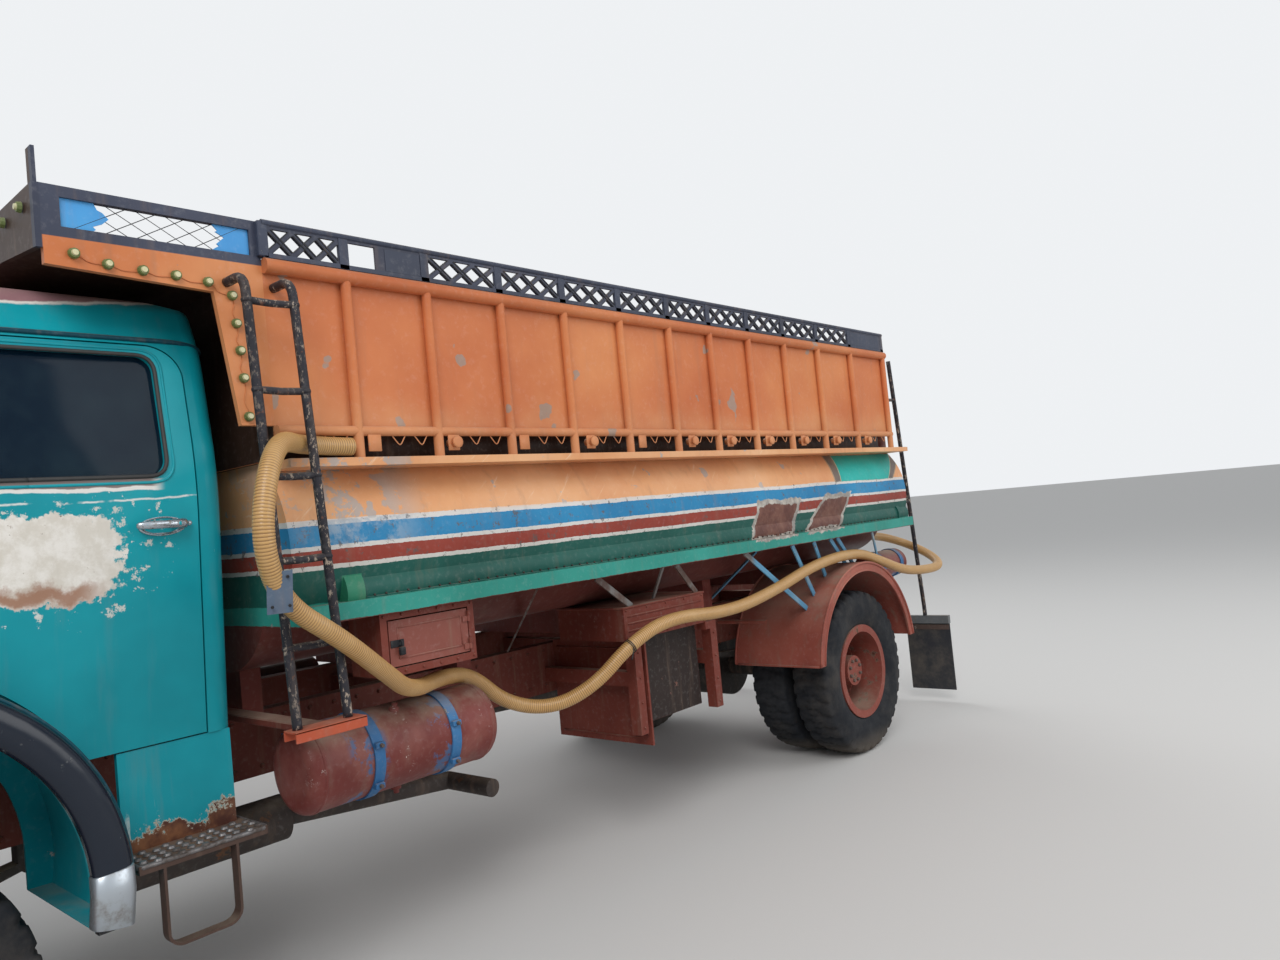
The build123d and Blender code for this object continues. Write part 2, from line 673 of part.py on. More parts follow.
# Seat bench on a box over the floor's rear part
seat_half = 860
seat_box_z = (cab_floor_z + cab_wall, 1480)
seat_y = (-2040, -1665)
cushion_thickness = 120
backrest_top = 1980
with BuildPart() as seat_bench:
    block((-seat_half + 60, seat_half - 60), (-1990, seat_y[1]), seat_box_z)
    block((-seat_half, seat_half), (-2160, seat_y[1]), (seat_box_z[1], seat_box_z[1] + cushion_thickness))
    block((-seat_half, seat_half), (-1770, seat_y[1]), (seat_box_z[1] + cushion_thickness, backrest_top))
finish(seat_bench.part, "seat_bench")

# Dashboard across the cowl, with the steering column and wheel
dash_y = (firewall_y + cab_wall, -2560)
dash_z = (1640, 1880)
dash_half = 1010
column_x = 420
steering_radius = 225
with BuildPart() as dashboard:
    block((-dash_half, dash_half), dash_y, dash_z)
    wheel_centre = (column_x, -2300, 1900)
    rod((column_x, -2600, 1740), wheel_centre, 22)
    rim_plane = Plane(origin=wheel_centre, z_dir=(0, -300, -160))
    with BuildSketch(rim_plane) as steering_ring:
        Circle(steering_radius)
        Circle(steering_radius - 28, mode=Mode.SUBTRACT)
        Rectangle(2 * steering_radius - 30, 30)
    extrude(steering_ring.sketch, amount=22)
finish(dashboard.part, "dashboard")


fender_nose_radius = 90


def fender_profile(radius):
    """The front fender seen from its side: an arch whose front runs on into a rounded nose."""
    low = radians(10)
    nose = fender_nose_y + (arch_radius - radius)
    start = (arch_y + radius * cos(low), arch_z - radius * sin(low))
    top = (arch_y - 60, arch_z + sqrt(radius**2 - 60**2))
    front_top = (nose, 1130)
    with BuildSketch(side_plane(fender_inner_half)) as profile:
        with BuildLine():
            ThreePointArc(start, (arch_y + radius * cos(radians(45)), arch_z + radius * sin(radians(45))),
                          top)
            TangentArc(top, front_top, tangent=(-1, -0.09))
            Polyline(front_top, (nose, start[1] + 40), start)
        make_face()
        fillet(profile.vertices().filter_by(lambda v: abs(v.Y - front_top[1]) < 1), radius=fender_nose_radius)
    return profile.sketch


# Front fenders: hollow pressings with a raised flare round the opening
fender_bracket_y = (-3300, -2080)
fender_bracket_z = 1000
with BuildPart() as fender_space:
    extrude(fender_profile(arch_radius - fender_wall), amount=fender_half - fender_inner_half - fender_wall)
    block((0, fender_inner_half + 12), (arch_y - 2000, arch_y + 2000), (0, 3000), Mode.SUBTRACT)

with BuildPart() as fender_left:
    extrude(fender_profile(arch_radius), amount=fender_half - fender_inner_half)
    with BuildSketch(side_plane(fender_half)) as flare:
        with Locations((arch_y, arch_z)):
            Circle(arch_radius)
        with Locations((arch_y, arch_z - 120 - arch_radius)):
            Rectangle(3 * arch_radius, 2 * arch_radius, mode=Mode.SUBTRACT)
    extrude(flare.sketch, amount=flare_half - fender_half)
    add(fender_space.part, mode=Mode.SUBTRACT)
    rod((fender_inner_half - 10, arch_y, arch_z), (flare_half + 10, arch_y, arch_z), arch_opening,
        Mode.SUBTRACT)
    block((fender_inner_half - 10, flare_half + 10), (arch_y - arch_opening, arch_y + arch_opening),
          (0, arch_z), Mode.SUBTRACT)
    for y in fender_bracket_y:
        rod((rail_outer_x, y, fender_bracket_z), (fender_inner_half + 5, y, fender_bracket_z), 14)
with BuildPart() as front_fenders:
    add(fender_left.part)
    add(mirror(fender_left.part, about=Plane.YZ, mode=Mode.PRIVATE))
finish(front_fenders.part, "front_fenders")


def bonnet_section(y, half, z_range):
    """An arched outline across the bonnet."""
    low, high = z_range
    with BuildSketch(cross_plane(y)) as outline:
        with BuildLine():
            shoulder = (half * 0.93, high - 110)
            Line((-half, low), (half, low))
            Line((half, low), shoulder)
            ThreePointArc(shoulder, (0, high), (-shoulder[0], shoulder[1]))
            Line((-shoulder[0], shoulder[1]), (-half, low))
        make_face()
    return outline.sketch


# Bonnet: one arched lid, closed at its nose, hinged at the cowl
inner_rear_z = (bonnet_rear_z[0] - 1, bonnet_rear_z[1] - bonnet_wall)
inner_front_z = (bonnet_front_z[0] - 1, bonnet_front_z[1] - bonnet_wall)
with BuildPart() as bonnet_hollow:
    loft([bonnet_section(bonnet_rear_y + 1, bonnet_rear_half - bonnet_wall, inner_rear_z),
          bonnet_section(bonnet_front_y + bonnet_wall, bonnet_front_half - bonnet_wall, inner_front_z)],
         ruled=True)

with BuildPart() as bonnet:
    loft([bonnet_section(bonnet_rear_y, bonnet_rear_half, bonnet_rear_z),
          bonnet_section(bonnet_front_y, bonnet_front_half, bonnet_front_z)], ruled=True)
    add(bonnet_hollow.part, mode=Mode.SUBTRACT)
    for side in (-1, 1):
        leaf_x = (side * (bonnet_lug_half + seat_gap), side * (bonnet_lug_half + 40))
        rod((leaf_x[0], bonnet_hinge_y, bonnet_hinge_z), (leaf_x[1], bonnet_hinge_y, bonnet_hinge_z),
            bonnet_hinge_radius)
        block(leaf_x, (bonnet_rear_y - 25, bonnet_hinge_y), (bonnet_rear_z[1] - 10, bonnet_hinge_z + 3))
finish(bonnet.part, "bonnet")

# Grille: a frame with level slats between the fenders' noses
grille_half = fender_inner_half + 20
grille_opening_half = rail_inner_x - 50
grille_y = (fender_nose_y - 45, fender_nose_y)
grille_z = (820, bonnet_front_z[0] - 8)
grille_frame = 50
slat_count = 9
slat_height = 20
with BuildPart() as grille_panel:
    block((-grille_half, grille_half), grille_y, grille_z)
    block((-grille_opening_half, grille_opening_half), (grille_y[0] - 1, grille_y[1] + 1),
          (grille_z[0] + grille_frame, grille_z[1] - grille_frame), Mode.SUBTRACT)
    slat_pitch = (grille_z[1] - grille_z[0] - 2 * grille_frame) / slat_count
    for slat in range(slat_count):
        z = grille_z[0] + grille_frame + (slat + 0.5) * slat_pitch
        block((-grille_opening_half, grille_opening_half), (grille_y[0] + 8, grille_y[1] - 8),
              (z - slat_height / 2, z + slat_height / 2))
    for side in (-1, 1):
        block((side * (rail_inner_x - running_gap), side * (rail_outer_x + running_gap)),
              (grille_y[0] - 1, grille_y[1] + 1), (grille_z[0] - 1, rail_top + running_gap), Mode.SUBTRACT)
        block((side * rail_inner_x, side * rail_outer_x), (grille_y[0], grille_y[1] + 40),
              (rail_top, rail_top + 2 * running_gap))
finish(grille_panel.part, "grille_panel")

# Lamps: round headlamps on the fenders' noses and tail lamps on the rear bumper
headlamp_x = 880
headlamp_z = 960
headlamp_radius = 105
headlamp_depth = 60
tail_lamp_x = 700
tail_lamp_depth = 20
with BuildPart() as lamps:
    for side in (-1, 1):
        rod((side * headlamp_x, fender_nose_y - seat_gap, headlamp_z),
            (side * headlamp_x, fender_nose_y - headlamp_depth, headlamp_z), headlamp_radius)
        block((side * (tail_lamp_x - 90), side * (tail_lamp_x + 90)),
              (rear_y - tail_lamp_depth, rear_y), (rear_bar_z[0] - 20, rear_bar_z[1] + 40))
finish(lamps.part, "lamps")

# Cab steps: a skirt below the door, a tread and a bent strap under it, on each side
skirt_z = (800, cab_floor_z)
skirt_y = (-1955, -1615)
skirt_x = (1025, 1045)
tread_x = (950, 1200)
tread_y = (-1970, -1590)
tread_thickness = 25
loop_y = (-1905, -1684)
loop_z = 540
loop_wall = 8
loop_corner_radius = 45
loop_width = 40
with BuildPart() as step_left:
    block(skirt_x, skirt_y, skirt_z)
    block(tread_x, tread_y, (skirt_z[0] - tread_thickness, skirt_z[0]))
    loop_x = (tread_x[1] - loop_width, tread_x[1])
    for drawn_in, mode in ((0, Mode.ADD), (loop_wall, Mode.SUBTRACT)):
        with BuildSketch(side_plane(loop_x[0])) as loop:
            with BuildLine():
                Polyline((loop_y[0] + drawn_in, skirt_z[0] - tread_thickness),
                         (loop_y[0] + drawn_in, loop_z + drawn_in), (loop_y[1] - drawn_in, loop_z + drawn_in),
                         (loop_y[1] - drawn_in, skirt_z[0] - tread_thickness), close=True)
            make_face()
            fillet(loop.vertices().filter_by(lambda v: v.Y < loop_z + drawn_in + 1),
                   radius=loop_corner_radius - drawn_in)
        extrude(loop.sketch, amount=loop_width, mode=mode)
with BuildPart() as cab_steps:
    add(step_left.part)
    add(mirror(step_left.part, about=Plane.YZ, mode=Mode.PRIVATE))
finish(cab_steps.part, "cab_steps")

# Mirrors: an upright glass on a bent arm from the windscreen pillar, on each side
mirror_x = (1250, 1400)
mirror_y = (-2800, -2765)
mirror_z = (1830, 2150)
mirror_stem = (1330, mirror_y[1] + 7)
stem_radius = 11
stem_z = (mirror_z[0] + 20, mirror_z[1] - 10)
arm_radius = 8
arm_root_y = -2700
# Each arm: its height, and where its root stands off the leaning pillar
mirror_arms = [(1880, 1119.5), (2110, 1093.5)]
with BuildPart() as mirror_left:
    block(mirror_x, mirror_y, mirror_z)
    rod((*mirror_stem, stem_z[0]), (*mirror_stem, stem_z[1]), stem_radius)
    for z, root_x in mirror_arms:
        rod((root_x, arm_root_y, z), (*mirror_stem, z), arm_radius)
with BuildPart() as mirrors:
    add(mirror_left.part)
    add(mirror(mirror_left.part, about=Plane.YZ, mode=Mode.PRIVATE))
finish(mirrors.part, "mirrors")


# Tank: an oval barrel with side shelves, a side tube, the ledge and the flange strip
with BuildPart() as tank_barrel:
    with BuildSketch(cross_plane(tank_rear_y)) as tank_section:
        with BuildLine():
            half_line = [(tank_shelf_half, 1430), (tank_shelf_half, tank_shelf_z), (belly_half, tank_shelf_z)]
            ThreePointArc((-tank_shoulder[0], tank_shoulder[1]), (0, tank_top), tank_shoulder)
            ThreePointArc(tank_shoulder, (tank_half, tank_widest_z), half_line[0])
            Polyline(*half_line)
            ThreePointArc(half_line[2], (865, 1285), (belly_flat_half, tank_bottom))
            Line((belly_flat_half, tank_bottom), (-belly_flat_half, tank_bottom))
            ThreePointArc((-belly_flat_half, tank_bottom), (-865, 1285), (-belly_half, tank_shelf_z))
            Polyline(*[(-x, z) for x, z in reversed(half_line)])
            ThreePointArc((-tank_shelf_half, 1430), (-tank_half, tank_widest_z),
                          (-tank_shoulder[0], tank_shoulder[1]))
        make_face()
    extrude(tank_section.sketch, amount=tank_rear_y - tank_front_y)
    for side in (-1, 1):
        rod((side * side_tube_x, side_tube_front_y, side_tube_z),
            (side * side_tube_x, tank_rear_y, side_tube_z), side_tube_radius)
        for ring_y in side_tube_ring_y:
            rod((side * side_tube_x, ring_y[0], side_tube_z), (side * side_tube_x, ring_y[1], side_tube_z),
                side_tube_radius + side_tube_ring)
        block((side * 1000, side * ledge_half), (tank_front_y, tank_rear_y), ledge_z)
        block((side * 1140, side * flange_half), (tank_front_y, tank_rear_y), flange_z)
    collar_y = 900
    collar_radius = 250
    collar_top = tank_top + 80
    rod((0, collar_y, tank_top - 60), (0, collar_y, collar_top), collar_radius)
finish(tank_barrel.part, "tank_barrel")

# Manhole lid: a disc with a rim and a hinge ear behind it
lid_thickness = 14
lid_radius = 262
lid_hinge_y = collar_y + lid_radius + 30
with BuildPart() as manhole_lid:
    rod((0, collar_y, collar_top + seat_gap), (0, collar_y, collar_top + lid_thickness), lid_radius)
    block((-40, 40), (collar_y + lid_radius - 30, lid_hinge_y), (collar_top + seat_gap, collar_top + 12))
    rod((-40, lid_hinge_y, collar_top + 6), (40, lid_hinge_y, collar_top + 6), 6)
finish(manhole_lid.part, "manhole_lid")

# Side boards: a panel with a top tube, a lower tube and round posts down to the ledge
board_outer_x = board_inner_x + board_thickness
post_x = board_inner_x + top_tube_radius
with BuildPart() as side_walls:
    for side in (-1, 1):
        block((side * board_inner_x, side * board_outer_x), (board_front_y, board_rear_y), board_z)
        rod((side * post_x, board_front_y, board_z[1]), (side * post_x, board_rear_y, board_z[1]),
            top_tube_radius)
        rod((side * post_x, board_front_y, board_z[0]), (side * post_x, board_rear_y, board_z[0]),
            low_tube_radius)
        for y in post_stations:
            rod((side * post_x, y, ledge_z[1]), (side * post_x, y, board_z[1]), post_radius)
finish(side_walls.part, "side_walls")

# Lattice rails above the boards: two bars joined by crossed flats, bay by bay. The second bay has
# a plate with a notched end, and the last one a plain plate.
with BuildPart() as lattice_rails:
    for side in (-1, 1):
        x_low = side * post_x - lattice_thickness / 2
        low = board_z[1] + top_tube_radius + seat_gap
        with BuildSketch(side_plane(x_low)) as lattice:
            with BuildLine():
                Polyline((board_front_y, low), (board_rear_y, low), (board_rear_y, lattice_z[1]),
                         (board_front_y, lattice_z[1]), close=True)
            make_face()
            bays = [board_front_y] + post_stations
            inside_z = (low + lattice_bar, lattice_z[1] - lattice_bar)
            centre_z = (inside_z[0] + inside_z[1]) / 2
            for number, (start, end) in enumerate(zip(bays[:-2], bays[1:-1])):
                inside_y = (start + lattice_post / 2, end - lattice_post / 2)
                if number == plate_bay:
                    inside_y = (inside_y[0], inside_y[0] + plate_gap)
                with Locations(((inside_y[0] + inside_y[1]) / 2, centre_z)):
                    Rectangle(inside_y[1] - inside_y[0], inside_z[1] - inside_z[0], mode=Mode.SUBTRACT)
                if number != plate_bay:
                    cell = (inside_y[1] - inside_y[0]) / crosses
                    height = inside_z[1] - inside_z[0]
                    lean = degrees(atan2(height, cell))
                    for place in range(crosses):
                        with Locations((inside_y[0] + (place + 0.5) * cell, centre_z)):
                            Rectangle(sqrt(height**2 + cell**2), lattice_bar, rotation=lean)
                            Rectangle(sqrt(height**2 + cell**2), lattice_bar, rotation=-lean)
            with BuildLine():
                notch_y = bays[plate_bay + 1] - lattice_post / 2
                Polyline((notch_y, inside_z[0]), (notch_y, inside_z[1]), (notch_y - notch_depth, centre_z),
                         close=True)
            make_face(mode=Mode.SUBTRACT)
        extrude(lattice.sketch, amount=lattice_thickness)
finish(lattice_rails.part, "lattice_rails")

# End walls between the side boards: the front bulkhead and the rear board
end_wall = 20
rear_board_low = tank_top + 8
with BuildPart() as end_walls:
    block((-board_inner_x, board_inner_x), (board_front_y, board_front_y + end_wall),
          (1960, deck_z[1]))
    block((-board_inner_x, board_inner_x), (board_rear_y - end_wall, board_rear_y),
          (rear_board_low, board_z[1]))
finish(end_walls.part, "end_walls")

# Overhang above the cab: a deck, two side frames with gussets and a front header
side_frame_z = (2505, 2750)
side_frame_thickness = 22
gusset_low_z = 2068
gusset_y = -1575
mesh_y = (-2052, -1500)
mesh_z = (2632, 2718)
header_thickness = 18
header_bar = (42, 10)
header_bar_top = 2855
header_bar_inset = 4
with BuildPart() as overhang:
    block((-board_inner_x, board_inner_x), (deck_front_y, board_front_y), deck_z)
    for side in (-1, 1):
        x_low = min(side * (board_outer_x - side_frame_thickness), side * board_outer_x)
        plate([(deck_front_y, side_frame_z[0] + 15), (-1631, side_frame_z[0] - 9), (gusset_y, gusset_low_z),
               (board_front_y, gusset_low_z), (board_front_y, side_frame_z[1]),
               (deck_front_y, side_frame_z[1])], side_plane(x_low), side_frame_thickness)
        block((side * (board_outer_x - side_frame_thickness - 1), side * (board_outer_x + 1)), mesh_y, mesh_z,
              Mode.SUBTRACT)
        bar_x = board_outer_x - header_bar_inset
        bar_y = deck_front_y - header_thickness + header_bar_inset
        block((side * (bar_x - header_bar[0]), side * bar_x), (bar_y, bar_y + header_bar[1]),
              (side_frame_z[1] - 40, header_bar_top))
    plate([(-board_outer_x, side_frame_z[0] + 60), (-900, deck_z[0]), (900, deck_z[0]),
           (board_outer_x, side_frame_z[0] + 60), (board_outer_x, side_frame_z[1]),
           (-board_outer_x, side_frame_z[1])], cross_plane(deck_front_y), header_thickness)
finish(overhang.part, "overhang")

# Ladders: a narrow one beside the tank's front corner, and one up the rear
ladder_x = 1330
ladder_radius = 15
ladder_top_z = 2530
left_rail_y = (-1588, -1533)
right_rail_y = (-1431, -1356)
ladder_foot_z = 1087
foot_plate_z = (1060, 1095)
rung_stations = [2448, 2165, 1891, 1624, 1350]
rear_rail_foot = (960, rail_rear_y + 20)
rear_rail_top = (1060, 3480, 2620)
rear_rail_bend = rear_bar_z[1] + 60
rear_stub_z = (1560, 2330)
with BuildPart() as ladders:
    rung_radius = 11
    for top_y, foot_y in (left_rail_y, right_rail_y):
        rod((ladder_x, foot_y, ladder_foot_z), (ladder_x, top_y, ladder_top_z), ladder_radius)
        rod((board_outer_x + seat_gap, top_y, ladder_top_z), (ladder_x, top_y, ladder_top_z), ladder_radius)
        with Locations((ladder_x, top_y, ladder_top_z)):
            Sphere(ladder_radius)
    for z in rung_stations:
        share = (z - ladder_foot_z) / (ladder_top_z - ladder_foot_z)
        rod((ladder_x, left_rail_y[1] + share * (left_rail_y[0] - left_rail_y[1]), z),
            (ladder_x, right_rail_y[1] + share * (right_rail_y[0] - right_rail_y[1]), z), rung_radius)
    block((ladder_x - 40, ladder_x + 40), (-1560, -1311), foot_plate_z)
    block((rail_outer_x, ladder_x - 30), (-1470, -1400), (foot_plate_z[0] + 2, foot_plate_z[1] - 3))
    block((rail_outer_x, rail_outer_x + 30), (-1470, -1400), (860, foot_plate_z[1] - 3))
    bend = (*rear_rail_foot, rear_rail_bend)
    rod((*rear_rail_foot, rear_bar_z[1]), bend, ladder_radius)
    with Locations(bend):
        Sphere(ladder_radius)
    rod(bend, rear_rail_top, ladder_radius)
    for z, wall_y in ((rear_stub_z[0], tank_rear_y), (rear_stub_z[1], board_rear_y)):
        share = (z - rear_rail_bend) / (rear_rail_top[2] - rear_rail_bend)
        x = bend[0] + share * (rear_rail_top[0] - bend[0])
        y = bend[1] + share * (rear_rail_top[1] - bend[1])
        rod((x, wall_y + seat_gap, z), (x, y, z), rung_radius)
finish(ladders.part, "ladders")

# Reservoirs: the long one low on the left, and the small one behind the rear wheel
reservoir_x = 980
reservoir_z = 880
reservoir_radius = 155
reservoir_y = (-1387, -564)
rear_reservoir_x = 950
rear_reservoir_z = 1125
rear_reservoir_radius = 98
rear_reservoir_y = (2990, 3500)
dome_depth = 45
with BuildPart() as reservoirs:
    for x, z, radius, ends in ((reservoir_x, reservoir_z, reservoir_radius, reservoir_y),
                               (rear_reservoir_x, rear_reservoir_z, rear_reservoir_radius,
                                rear_reservoir_y)):
        rod((x, ends[0], z), (x, ends[1], z), radius)
    rims = reservoirs.edges().filter_by(GeomType.CIRCLE)
    fillet(rims, radius=dome_depth)
finish(reservoirs.part, "reservoirs")

# Straps: a band round each reservoir with its arm from the frame
strap_wall = 6
strap_stations = [-1130, -790]
strap_width = 42
rear_strap_stations = [3100, 3380]
with BuildPart() as reservoir_straps:
    for x, z, radius, places, arm_end in (
            (reservoir_x, reservoir_z, reservoir_radius, strap_stations, rail_outer_x),
            (rear_reservoir_x, rear_reservoir_z, rear_reservoir_radius, rear_strap_stations, 0)):
        for y in places:
            ends = (y - strap_width / 2, y + strap_width / 2)
            rod((x, ends[0], z), (x, ends[1], z), radius + strap_wall + seat_gap)
            if arm_end:
                block((arm_end, x), ends, (z - 40, z + 40))
            else:
                block((rail_outer_x, x), ends, (rail_top - 60, rail_top - 20))
                block((x - 12, x + 12), ends, (rail_top - 40, z))
            rod((x, ends[0] - 1, z), (x, ends[1] + 1, z), radius + seat_gap, Mode.SUBTRACT)
finish(reservoir_straps.part, "reservoir_straps")

# Toolbox under the flange, with its door on the outer face
toolbox_x = (985, 1190)
toolbox_y = (-1120, -700)
toolbox_z = (1165, tank_shelf_z)
toolbox_wall = 8
toolbox_frame = 28
toolbox_door_thickness = 10
box_door_y = (toolbox_y[0] + toolbox_frame + running_gap, toolbox_y[1] - toolbox_frame - running_gap)
box_door_z = (toolbox_z[0] + toolbox_frame + running_gap, toolbox_z[1] - toolbox_frame - running_gap)
box_hinge_radius = 5.5
box_hinge = (toolbox_x[1] + box_hinge_radius + 0.5, box_door_y[1] + 2)
box_hinge_z = (box_door_z[0] + 10, box_door_z[1] - 50)
box_hinge_length = 20
with BuildPart() as toolbox:
    block(toolbox_x, toolbox_y, toolbox_z)
    block((toolbox_x[0] + toolbox_wall, toolbox_x[1] - toolbox_door_thickness - running_gap),
          (toolbox_y[0] + toolbox_wall, toolbox_y[1] - toolbox_wall),
          (toolbox_z[0] + toolbox_wall, toolbox_z[1] - toolbox_wall), Mode.SUBTRACT)
    block((toolbox_x[0] + toolbox_wall, toolbox_x[1] + 1),
          (toolbox_y[0] + toolbox_frame, toolbox_y[1] - toolbox_frame),
          (toolbox_z[0] + toolbox_frame, toolbox_z[1] - toolbox_frame), Mode.SUBTRACT)
    for z in box_hinge_z:
        lug_z = (z + box_hinge_length + seat_gap, z + 2 * box_hinge_length)
        rod((*box_hinge, lug_z[0]), (*box_hinge, lug_z[1]), box_hinge_radius)
        block((toolbox_x[1] - 2, box_hinge[0]), (box_hinge[1], box_hinge[1] + 16), lug_z)
finish(toolbox.part, "toolbox")

# Toolbox door: a flat plate inside the frame, hinged at its rear edge
with BuildPart() as toolbox_door:
    block((toolbox_x[1] - toolbox_door_thickness, toolbox_x[1]), box_door_y, box_door_z)
    for z in box_hinge_z:
        rod((*box_hinge, z), (*box_hinge, z + box_hinge_length), box_hinge_radius)
        block((toolbox_x[1] - 2, box_hinge[0]), (box_door_y[1] - 25, box_hinge[1]), (z, z + box_hinge_length))
finish(toolbox_door.part, "toolbox_door")

# Side locker: a ribbed box on two posts, with the front plate and the dark box between
locker_x = (660, tank_half - 90)
locker_y = (250, 880)
locker_z = (1065, 1222)
locker_post_y = [(300, 352), (912, 965)]
locker_post_low = 610
locker_arm_z = (rail_bottom + 60, rail_bottom + 130)
locker_plate_y = (375, 387)
locker_plate_z = (545, 1045)
locker_box_y = (430, 860)
locker_box_z = (640, 1065)
with BuildPart() as side_locker:
    block(locker_x, locker_y, locker_z)
    block((locker_x[1] - 60, locker_x[1]), (locker_y[1] - 5, locker_post_y[1][1]), (1025, 1065))
    for post_y in locker_post_y:
        block((locker_x[1] - 60, locker_x[1]), post_y, (locker_post_low, locker_z[0]))
        block((rail_outer_x, locker_x[1] - 60), post_y, locker_arm_z)
    block((rail_outer_x, locker_x[1]), locker_plate_y, locker_plate_z)
    block((locker_x[0], locker_x[1] - 62), locker_box_y, locker_box_z)
    block((rail_outer_x, locker_x[0]), locker_box_y, locker_arm_z)
    block((locker_x[0], locker_x[0] + 40), (locker_box_y[1], locker_y[1]), (locker_z[0] - 5, locker_z[0]))
finish(side_locker.part, "side_locker")

# Rear fenders: an arched sheet over each pair of tyres, with a rolled outer edge
rear_fender_x = (640, tank_half + 50)
rear_fender_low_z = 660
rear_fender_radius = 640
rear_fender_z = 579
rear_fender_wall = 10
rear_arm_z = 915
with BuildPart() as rear_fender_left:
    with BuildSketch(side_plane(rear_fender_x[0])) as fender_arc:
        with Locations((rear_axle_y - 25, rear_fender_z)):
            Circle(rear_fender_radius)
            Circle(rear_fender_radius - rear_fender_wall, mode=Mode.SUBTRACT)
        with Locations((rear_axle_y, rear_fender_low_z - 500)):
            Rectangle(2000, 1000, mode=Mode.SUBTRACT)
    extrude(fender_arc.sketch, amount=rear_fender_x[1] - rear_fender_x[0])
    with BuildSketch(side_plane(rear_fender_x[1] - rear_fender_wall)) as fender_lip:
        with Locations((rear_axle_y - 25, rear_fender_z)):
            Circle(rear_fender_radius)
            Circle(rear_fender_radius - 60, mode=Mode.SUBTRACT)
        with Locations((rear_axle_y, rear_fender_low_z - 500)):
            Rectangle(2000, 1000, mode=Mode.SUBTRACT)
    extrude(fender_lip.sketch, amount=rear_fender_wall)
    arm_reach = sqrt((rear_fender_radius - rear_fender_wall / 2)**2 - (rear_arm_z - rear_fender_z)**2)
    for end in (-1, 1):
        y = rear_axle_y - 25 + end * arm_reach
        rod((rail_outer_x, y, rear_arm_z), (rear_fender_x[0] + 200, y, rear_arm_z), 14)
with BuildPart() as rear_fenders:
    add(rear_fender_left.part)
    add(mirror(rear_fender_left.part, about=Plane.YZ, mode=Mode.PRIVATE))
finish(rear_fenders.part, "rear_fenders")

# Stays: flat bars from feet under the tank's shelf to what stands below them
stay_foot = (60, 36, 5)
stay_width = 30
stay_thickness = 8
stay_head_x = 1172
# Each stay: where its head is along the truck, then the x, y and z of its lower end
stays = [
    (-334, 440, 87, rail_top),
    (1329, 440, 1745, rail_top),
    (1205, 1105, 1930, 975),
    (1700, 1120, 2000, 1036),
    (1950, 1120, 2150, 1140),
    (2150, 1120, 2420, 1200),
    (2240, 1120, 2520, 1190),
    (2720, rear_reservoir_x + 50, 3100, 1190),
]
locker_stays = [
    (20, 1085, 340, locker_z[1]),
    (500, 1000, 600, locker_z[1]),
    (600, 1085, 855, locker_z[1]),
]
with BuildPart() as tank_stays:
    for side, bars in ((1, stays + locker_stays), (-1, stays[:-1])):
        for head_y, low_x, low_y, low_z in bars:
            head = (side * stay_head_x, head_y, tank_shelf_z - stay_foot[2] / 2)
            flat_bar(head, (side * low_x, low_y, low_z), stay_width, stay_thickness)
            block((side * (stay_head_x - stay_foot[1] / 2), side * (stay_head_x + stay_foot[1] / 2)),
                  (head_y - stay_foot[0] / 2, head_y + stay_foot[0] / 2),
                  (tank_shelf_z - stay_foot[2], tank_shelf_z))
    block((-tank_half, tank_half), (tank_front_y, tank_rear_y), (tank_shelf_z, tank_top), Mode.SUBTRACT)
    block((-tank_half, tank_half), (tank_front_y, rear_axle_y - rear_fender_radius),
          (0, rail_top), Mode.SUBTRACT)
    block(locker_x, locker_y, (0, locker_z[1]), Mode.SUBTRACT)
    rod((-tank_half, rear_axle_y - 25, rear_fender_z), (tank_half, rear_axle_y - 25, rear_fender_z),
        rear_fender_radius + seat_gap, Mode.SUBTRACT)
    rod((rear_reservoir_x, rear_axle_y, rear_reservoir_z), (rear_reservoir_x, rear_y, rear_reservoir_z),
        rear_reservoir_radius + strap_wall + 2 * seat_gap, Mode.SUBTRACT)
finish(tank_stays.part, "tank_stays")

# Rear bumper: a low bar on two brackets behind the rails' ends
with BuildPart() as rear_bumper:
    block((-rear_bumper_half, rear_bumper_half), (rail_rear_y, rear_y - tail_lamp_depth), rear_bar_z)
    for side in (-1, 1):
        block((side * rail_inner_x, side * rail_outer_x), (rail_rear_y, rear_y - tail_lamp_depth),
              (rear_bar_z[0], rail_top - 40))
finish(rear_bumper.part, "rear_bumper")

# Mud flaps: stiff sheets hung under the rear bumper
flap_x = (800, 1150)
flap_low_z = 90
flap_thickness = 10
with BuildPart() as mud_flaps:
    flap_y = rail_rear_y + (rear_bumper_depth - tail_lamp_depth) / 2
    for side in (-1, 1):
        block((side * flap_x[0], side * flap_x[1]),
              (flap_y - flap_thickness / 2, flap_y + flap_thickness / 2), (flap_low_z, rear_bar_z[0]))
finish(mud_flaps.part, "mud_flaps")

